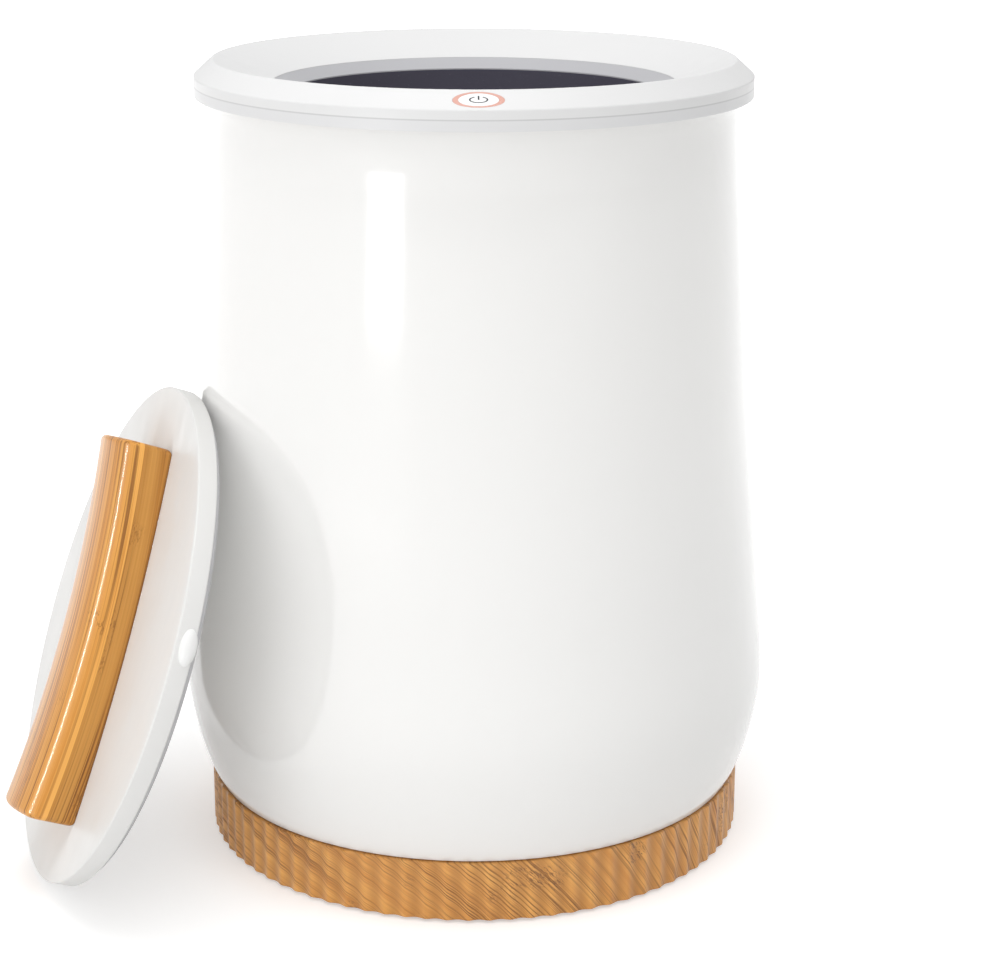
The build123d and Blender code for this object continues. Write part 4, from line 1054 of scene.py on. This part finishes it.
class BUCKET_OT_lid(bpy.types.Operator):
    """Model the lid's dished cover and finish its liner, gasket and bumper"""

    bl_idname = "bucket.lid"
    bl_label = "Lid"
    dish_steps = 40
    edge_steps = 6
    turned_steps = 240
    tip = 0.0001        # radius of the pinhole in the dish's middle, under the handle

    def execute(self, context):
        casing = settings("bucket_casing")
        colour = casing.lid_colour[:]
        finish = gloss_casing_finish("polished white lid", colour, casing.gloss * SATIN, 0.0, 0.25)
        shape = skin([self.circle(*corner) for corner in self.outline()], closed=True)
        cover = mesh_piece("dished_lid_cover", shape, finish, COVER_SMOOTHING)
        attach(cover, "lid")
        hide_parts("lid_cover")
        finish_table(LID_INSIDES)
        return {"FINISHED"}

    def outline(self):
        """Section of the dished cover, from the middle of its face around its wall."""
        lid = settings("bucket_lid")
        edge, wall, low, high = lid.edge_round, lid.cover_wall, BAND_LOW, COVER_HIGH.z
        outside = COVER_HIGH.x - MESH_MARGIN
        reach = COVER_HIGH.x - lid.dish_margin
        radii = [reach * step / self.dish_steps for step in range(self.dish_steps + 1)]
        dish = [(radius, dish_height(lid, radius)) for radius in radii]
        dish[0] = (self.tip, dish[0][1])
        outer = arc((outside - edge, high - edge), edge, 90, 0, self.edge_steps)
        outer += arc((outside - edge, low + edge), edge, 0, -90, self.edge_steps)
        inside = [(outside - wall, low), (outside - wall, high - 2 * wall)]
        under = [(x, z - wall) for x, z in reversed(dish[:-2])]
        return dish + outer + inside + under

    def circle(self, radius, height):
        """One corner of the section, turned around the lid's middle."""
        turns = (2 * math.pi * step / self.turned_steps for step in range(self.turned_steps))
        return [LID_PLACE @ Vector((radius * math.cos(t), radius * math.sin(t), height)) for t in turns]


class BUCKET_OT_handle(bpy.types.Operator):
    """Model the bowed bamboo handle of the lid"""

    bl_idname = "bucket.handle"
    bl_label = "Bamboo handle"
    stations = 96
    end_steps = 8
    edge_steps = 12
    crown_steps = 24
    base_steps = 16

    def execute(self, context):
        lid = settings("bucket_lid")
        half = HANDLE_HIGH.x - MESH_MARGIN
        bow_radius = (half**2 + lid.bow**2) / (2 * lid.bow)
        rings = []
        grain = []
        for along, inset in self.places(lid, half):
            rise = bow_radius - math.sqrt(bow_radius**2 - along**2)
            ring = self.section(lid, along, rise, inset)
            rings.append([LID_PLACE @ Vector((along, across, height)) for across, height in ring])
            grain += [(along, across, height - self.side_top(lid) - rise) for across, height in ring]
        shape = skin(rings)
        shape.verts.ensure_lookup_table()
        count = len(rings[0])
        shape.faces.new(shape.verts[:count])
        shape.faces.new(shape.verts[-count:])
        # curve of the painted shade along the handle's foot, between the bowed handle and the dish
        foot_shade_curve = 1 / (2 * bow_radius) - 1 / (2 * dish_sphere(lid)[0])
        finish = handle_finish("lacquered bamboo", settings("bucket_bamboo"), lid.side_height, foot_shade_curve)
        piece = mesh_piece("bowed_bamboo_handle", shape, finish, WOOD_SMOOTHING)
        layer = piece.data.attributes.new("grain", "FLOAT_VECTOR", "POINT")
        for place, value in zip(layer.data, grain):
            place.vector = value
        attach(piece, "lid")
        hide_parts("lid_handle")
        return {"FINISHED"}

    def side_top(self, lid):
        """Height of the upper edge of the flat side, at the middle of the handle."""
        return dish_height(lid, HANDLE_HIGH.y) + lid.side_height

    def places(self, lid, half):
        """Places along the handle, each with how far the section shrinks for the rounded end."""
        turns = [math.pi / 2 * step / self.end_steps for step in range(self.end_steps)]
        reach = half - lid.end_round
        middle = [(-reach + 2 * reach * step / self.stations, 0.0) for step in range(self.stations + 1)]
        end = [(half - lid.end_round * (1 - math.cos(t)), lid.end_round * (1 - math.sin(t))) for t in turns]
        return [(-along, inset) for along, inset in end] + middle + list(reversed(end))

    def section(self, lid, along, rise, inset):
        """The handle's section at one place: crowned top, rounded edges, flat sides, dished base."""
        half, edge, slope = HANDLE_HIGH.y - MESH_MARGIN, lid.handle_round, lid.crown_slope
        top = self.side_top(lid) + rise
        crown = (half - edge + edge * math.sin(slope)) / math.sin(slope)
        crown_middle = top + edge * math.cos(slope) - crown * math.cos(slope)
        degrees = math.degrees(slope)
        wide = half - inset
        base = [-wide + 2 * wide * step / self.base_steps for step in range(self.base_steps + 1)]
        base = [(x, dish_height(lid, x, along) + inset) for x in base]
        foot = base[-1][1]
        right = [(wide, foot + (top - foot) * share) for share in QUARTERS]
        right += arc((half - edge, top), edge - inset, 0, 90 - degrees, self.edge_steps)
        over = arc((0, crown_middle), crown - inset, 90 - degrees, 90 + degrees, self.crown_steps)[1:-1]
        left = [(-x, z) for x, z in reversed(right)]
        return base + right + over + left


class BUCKET_OT_underside(bpy.types.Operator):
    """Finish the base plate, foot ring and cord gland"""

    bl_idname = "bucket.underside"
    bl_label = "Underside"

    def execute(self, context):
        finish_table(UNDERSIDE)
        return {"FINISHED"}


class BUCKET_OT_inner_works(bpy.types.Operator):
    """Finish the heater, insulation, boards, wiring and fasteners"""

    bl_idname = "bucket.inner_works"
    bl_label = "Inner works"

    def execute(self, context):
        finish_table(INNER_WORKS)
        return {"FINISHED"}


# ---- stage

# name, place, target, width and height, power, and whether the lamp is only mirrored
SOFTBOXES = (
    ("key softbox", (-1.2, -1.5, 0.9), (0, 0, 0.2), (1.0, 1.0), 2.4, False),
    ("top softbox", (-0.1, -0.3, 1.9), (0, 0, 0.2), (1.2, 1.2), 13, False),
    ("low bounce", (-0.9, -1.0, 0.12), (-0.15, 0, 0.14), (0.8, 0.3), 1.6, False),
)
WINDOW_CARD = ("window card", (-0.98, -1.34, 0.25), (0, 0, 0.30), (0.42, 0.18), 1.6, True)
TALL_STRIP = ("tall strip", (-1.42, -0.76, 0.64), (-0.2, -0.06, 0.13), (0.12, 1.2), 36, True)

FILL_PLACE = (-0.30, -1.0, 0.35)    # where the shadow fill comes from
FILL_STRENGTH = 0.56
FLOOR_REACH = 6.0
GLOW_START = 0.25                   # metres from the bucket at which the floor starts to whiten
GLOW_END = 1.1                      # and at which it is white
SENSOR_WIDTH = 36.0


def add_lamp(data, place, target):
    """A lamp at a place that points at a target."""
    lamp = bpy.data.objects.new(data.name, data)
    lamp.location = place
    lamp.rotation_euler = (Vector(target) - Vector(place)).to_track_quat("-Z", "Y").to_euler()
    bpy.context.scene.collection.objects.link(lamp)
    return lamp


def add_softbox(name, place, target, size, power, mirrored):
    """A rectangular lamp that either lights surfaces or is only mirrored in them."""
    data = bpy.data.lights.new(name, "AREA")
    data.shape = "RECTANGLE"
    data.size, data.size_y = size
    data.energy = power
    lamp = add_lamp(data, place, target)
    lamp.visible_diffuse = not mirrored
    lamp.visible_glossy = mirrored
    return lamp


class BUCKET_OT_stage(bpy.types.Operator):
    """Set up the pale floor, the soft lamps and the camera"""

    bl_idname = "bucket.stage"
    bl_label = "Stage"

    def execute(self, context):
        stage = settings("bucket_stage")
        self.light_room(stage)
        self.lay_floor(stage)
        for softbox in SOFTBOXES:
            add_softbox(*softbox)
        self.fill_shadows()
        add_softbox(*WINDOW_CARD)
        self.streak_handle()
        self.place_camera(stage)
        bpy.context.scene.view_settings.view_transform = "Standard"
        return {"FINISHED"}

    def fill_shadows(self):
        """Even light from the front that casts no shadows of its own."""
        data = bpy.data.lights.new("shadow fill", "SUN")
        data.energy = FILL_STRENGTH
        data.use_shadow = False
        add_lamp(data, FILL_PLACE, (0, 0, 0)).visible_glossy = False

    def streak_handle(self):
        """A tall strip that only the handle's lacquer mirrors, as one long streak."""
        strip = add_softbox(*TALL_STRIP)
        lit = bpy.data.collections.new("lit by the tall strip")
        lit.objects.link(bpy.data.objects["bowed_bamboo_handle"])
        strip.light_linking.receiver_collection = lit

    def light_room(self, stage):
        """Even light from all round, with a white backdrop and a dimmer room in mirrors."""
        world = bpy.data.worlds.new("white room")
        bpy.context.scene.world = world
        world.use_nodes = True
        room = Nodes(world.node_tree)
        path = room.node("LightPath").outputs
        seen = room.math("MAXIMUM", path["Is Camera Ray"], path["Is Transmission Ray"])
        light = room.remap(path["Is Glossy Ray"], 0.0, 1.0, stage.room_light, stage.mirrored_room)
        background = room.tree.nodes["Background"].inputs
        room.feed(background["Strength"], room.remap(seen, 0.0, 1.0, light, 1.0))
        room.feed(background["Color"], (1, 1, 1, 1))

    def lay_floor(self, stage):
        """A wide pale floor that keeps the object's shadow."""
        shape = bmesh.new()
        bmesh.ops.create_grid(shape, x_segments=1, y_segments=1, size=FLOOR_REACH)
        colour = stage.floor_colour[:]
        finish = Finish("pale floor", colour, 0.9)
        place = finish.place()
        finish.mottle(finish.noise(place, waves=30.0, detail=4.0), colour, dark=0.99, light=1.01)
        path = finish.node("LightPath").outputs
        mirrored = finish.math("MAXIMUM", path["Is Glossy Ray"], path["Is Transmission Ray"])
        seen = finish.math("MAXIMUM", path["Is Camera Ray"], mirrored)
        away = finish.node("VectorMath", (place,), operation="LENGTH").outputs["Value"]
        white = finish.remap(away, GLOW_START, GLOW_END, stage.floor_glow, 1.0)
        finish.glow((1, 1, 1), finish.math("MULTIPLY", seen, white))
        floor = mesh_piece("floor", shape, finish.material, COVER_SMOOTHING)

    def place_camera(self, stage):
        """The camera's place, turn and lens."""
        data = bpy.data.cameras.new("camera")
        data.sensor_width = SENSOR_WIDTH
        data.lens = stage.lens
        camera = bpy.data.objects.new("camera", data)
        turn = Matrix.Rotation(stage.camera_yaw, 3, "Z")
        turn @= Matrix.Rotation(math.pi / 2 - stage.camera_pitch, 3, "X")
        turn @= Matrix.Rotation(stage.camera_roll, 3, "Z")
        camera.location = stage.camera_place
        camera.rotation_euler = turn.to_euler()
        bpy.context.scene.collection.objects.link(camera)
        bpy.context.scene.camera = camera


# ---- add-on

PIECES = (
    BUCKET_OT_casing,
    BUCKET_OT_chamber,
    BUCKET_OT_button,
    BUCKET_OT_bamboo_ring,
    BUCKET_OT_lid,
    BUCKET_OT_handle,
    BUCKET_OT_underside,
    BUCKET_OT_inner_works,
    BUCKET_OT_stage,
)


class BUCKET_PT_panel(bpy.types.Panel):
    """Lists the bucket's pieces in the sidebar"""

    bl_label = "Towel Bucket"
    bl_idname = "BUCKET_PT_panel"
    bl_space_type = "VIEW_3D"
    bl_region_type = "UI"
    bl_category = "Towel Bucket"

    def draw(self, context):
        for piece in PIECES:
            self.layout.operator(piece.bl_idname)


def register():
    for group, kind in GROUPS.items():
        bpy.utils.register_class(kind)
        setattr(bpy.types.Scene, group, PointerProperty(type=kind))
    for piece in (*PIECES, BUCKET_PT_panel):
        bpy.utils.register_class(piece)


def unregister():
    for piece in (*PIECES, BUCKET_PT_panel):
        bpy.utils.unregister_class(piece)
    for group, kind in GROUPS.items():
        delattr(bpy.types.Scene, group)
        bpy.utils.unregister_class(kind)


def main():
    """Make every piece and the stage."""
    register()
    for piece in PIECES:
        family, name = piece.bl_idname.split(".")
        getattr(getattr(bpy.ops, family), name)()


if __name__ == "__main__":
    main()
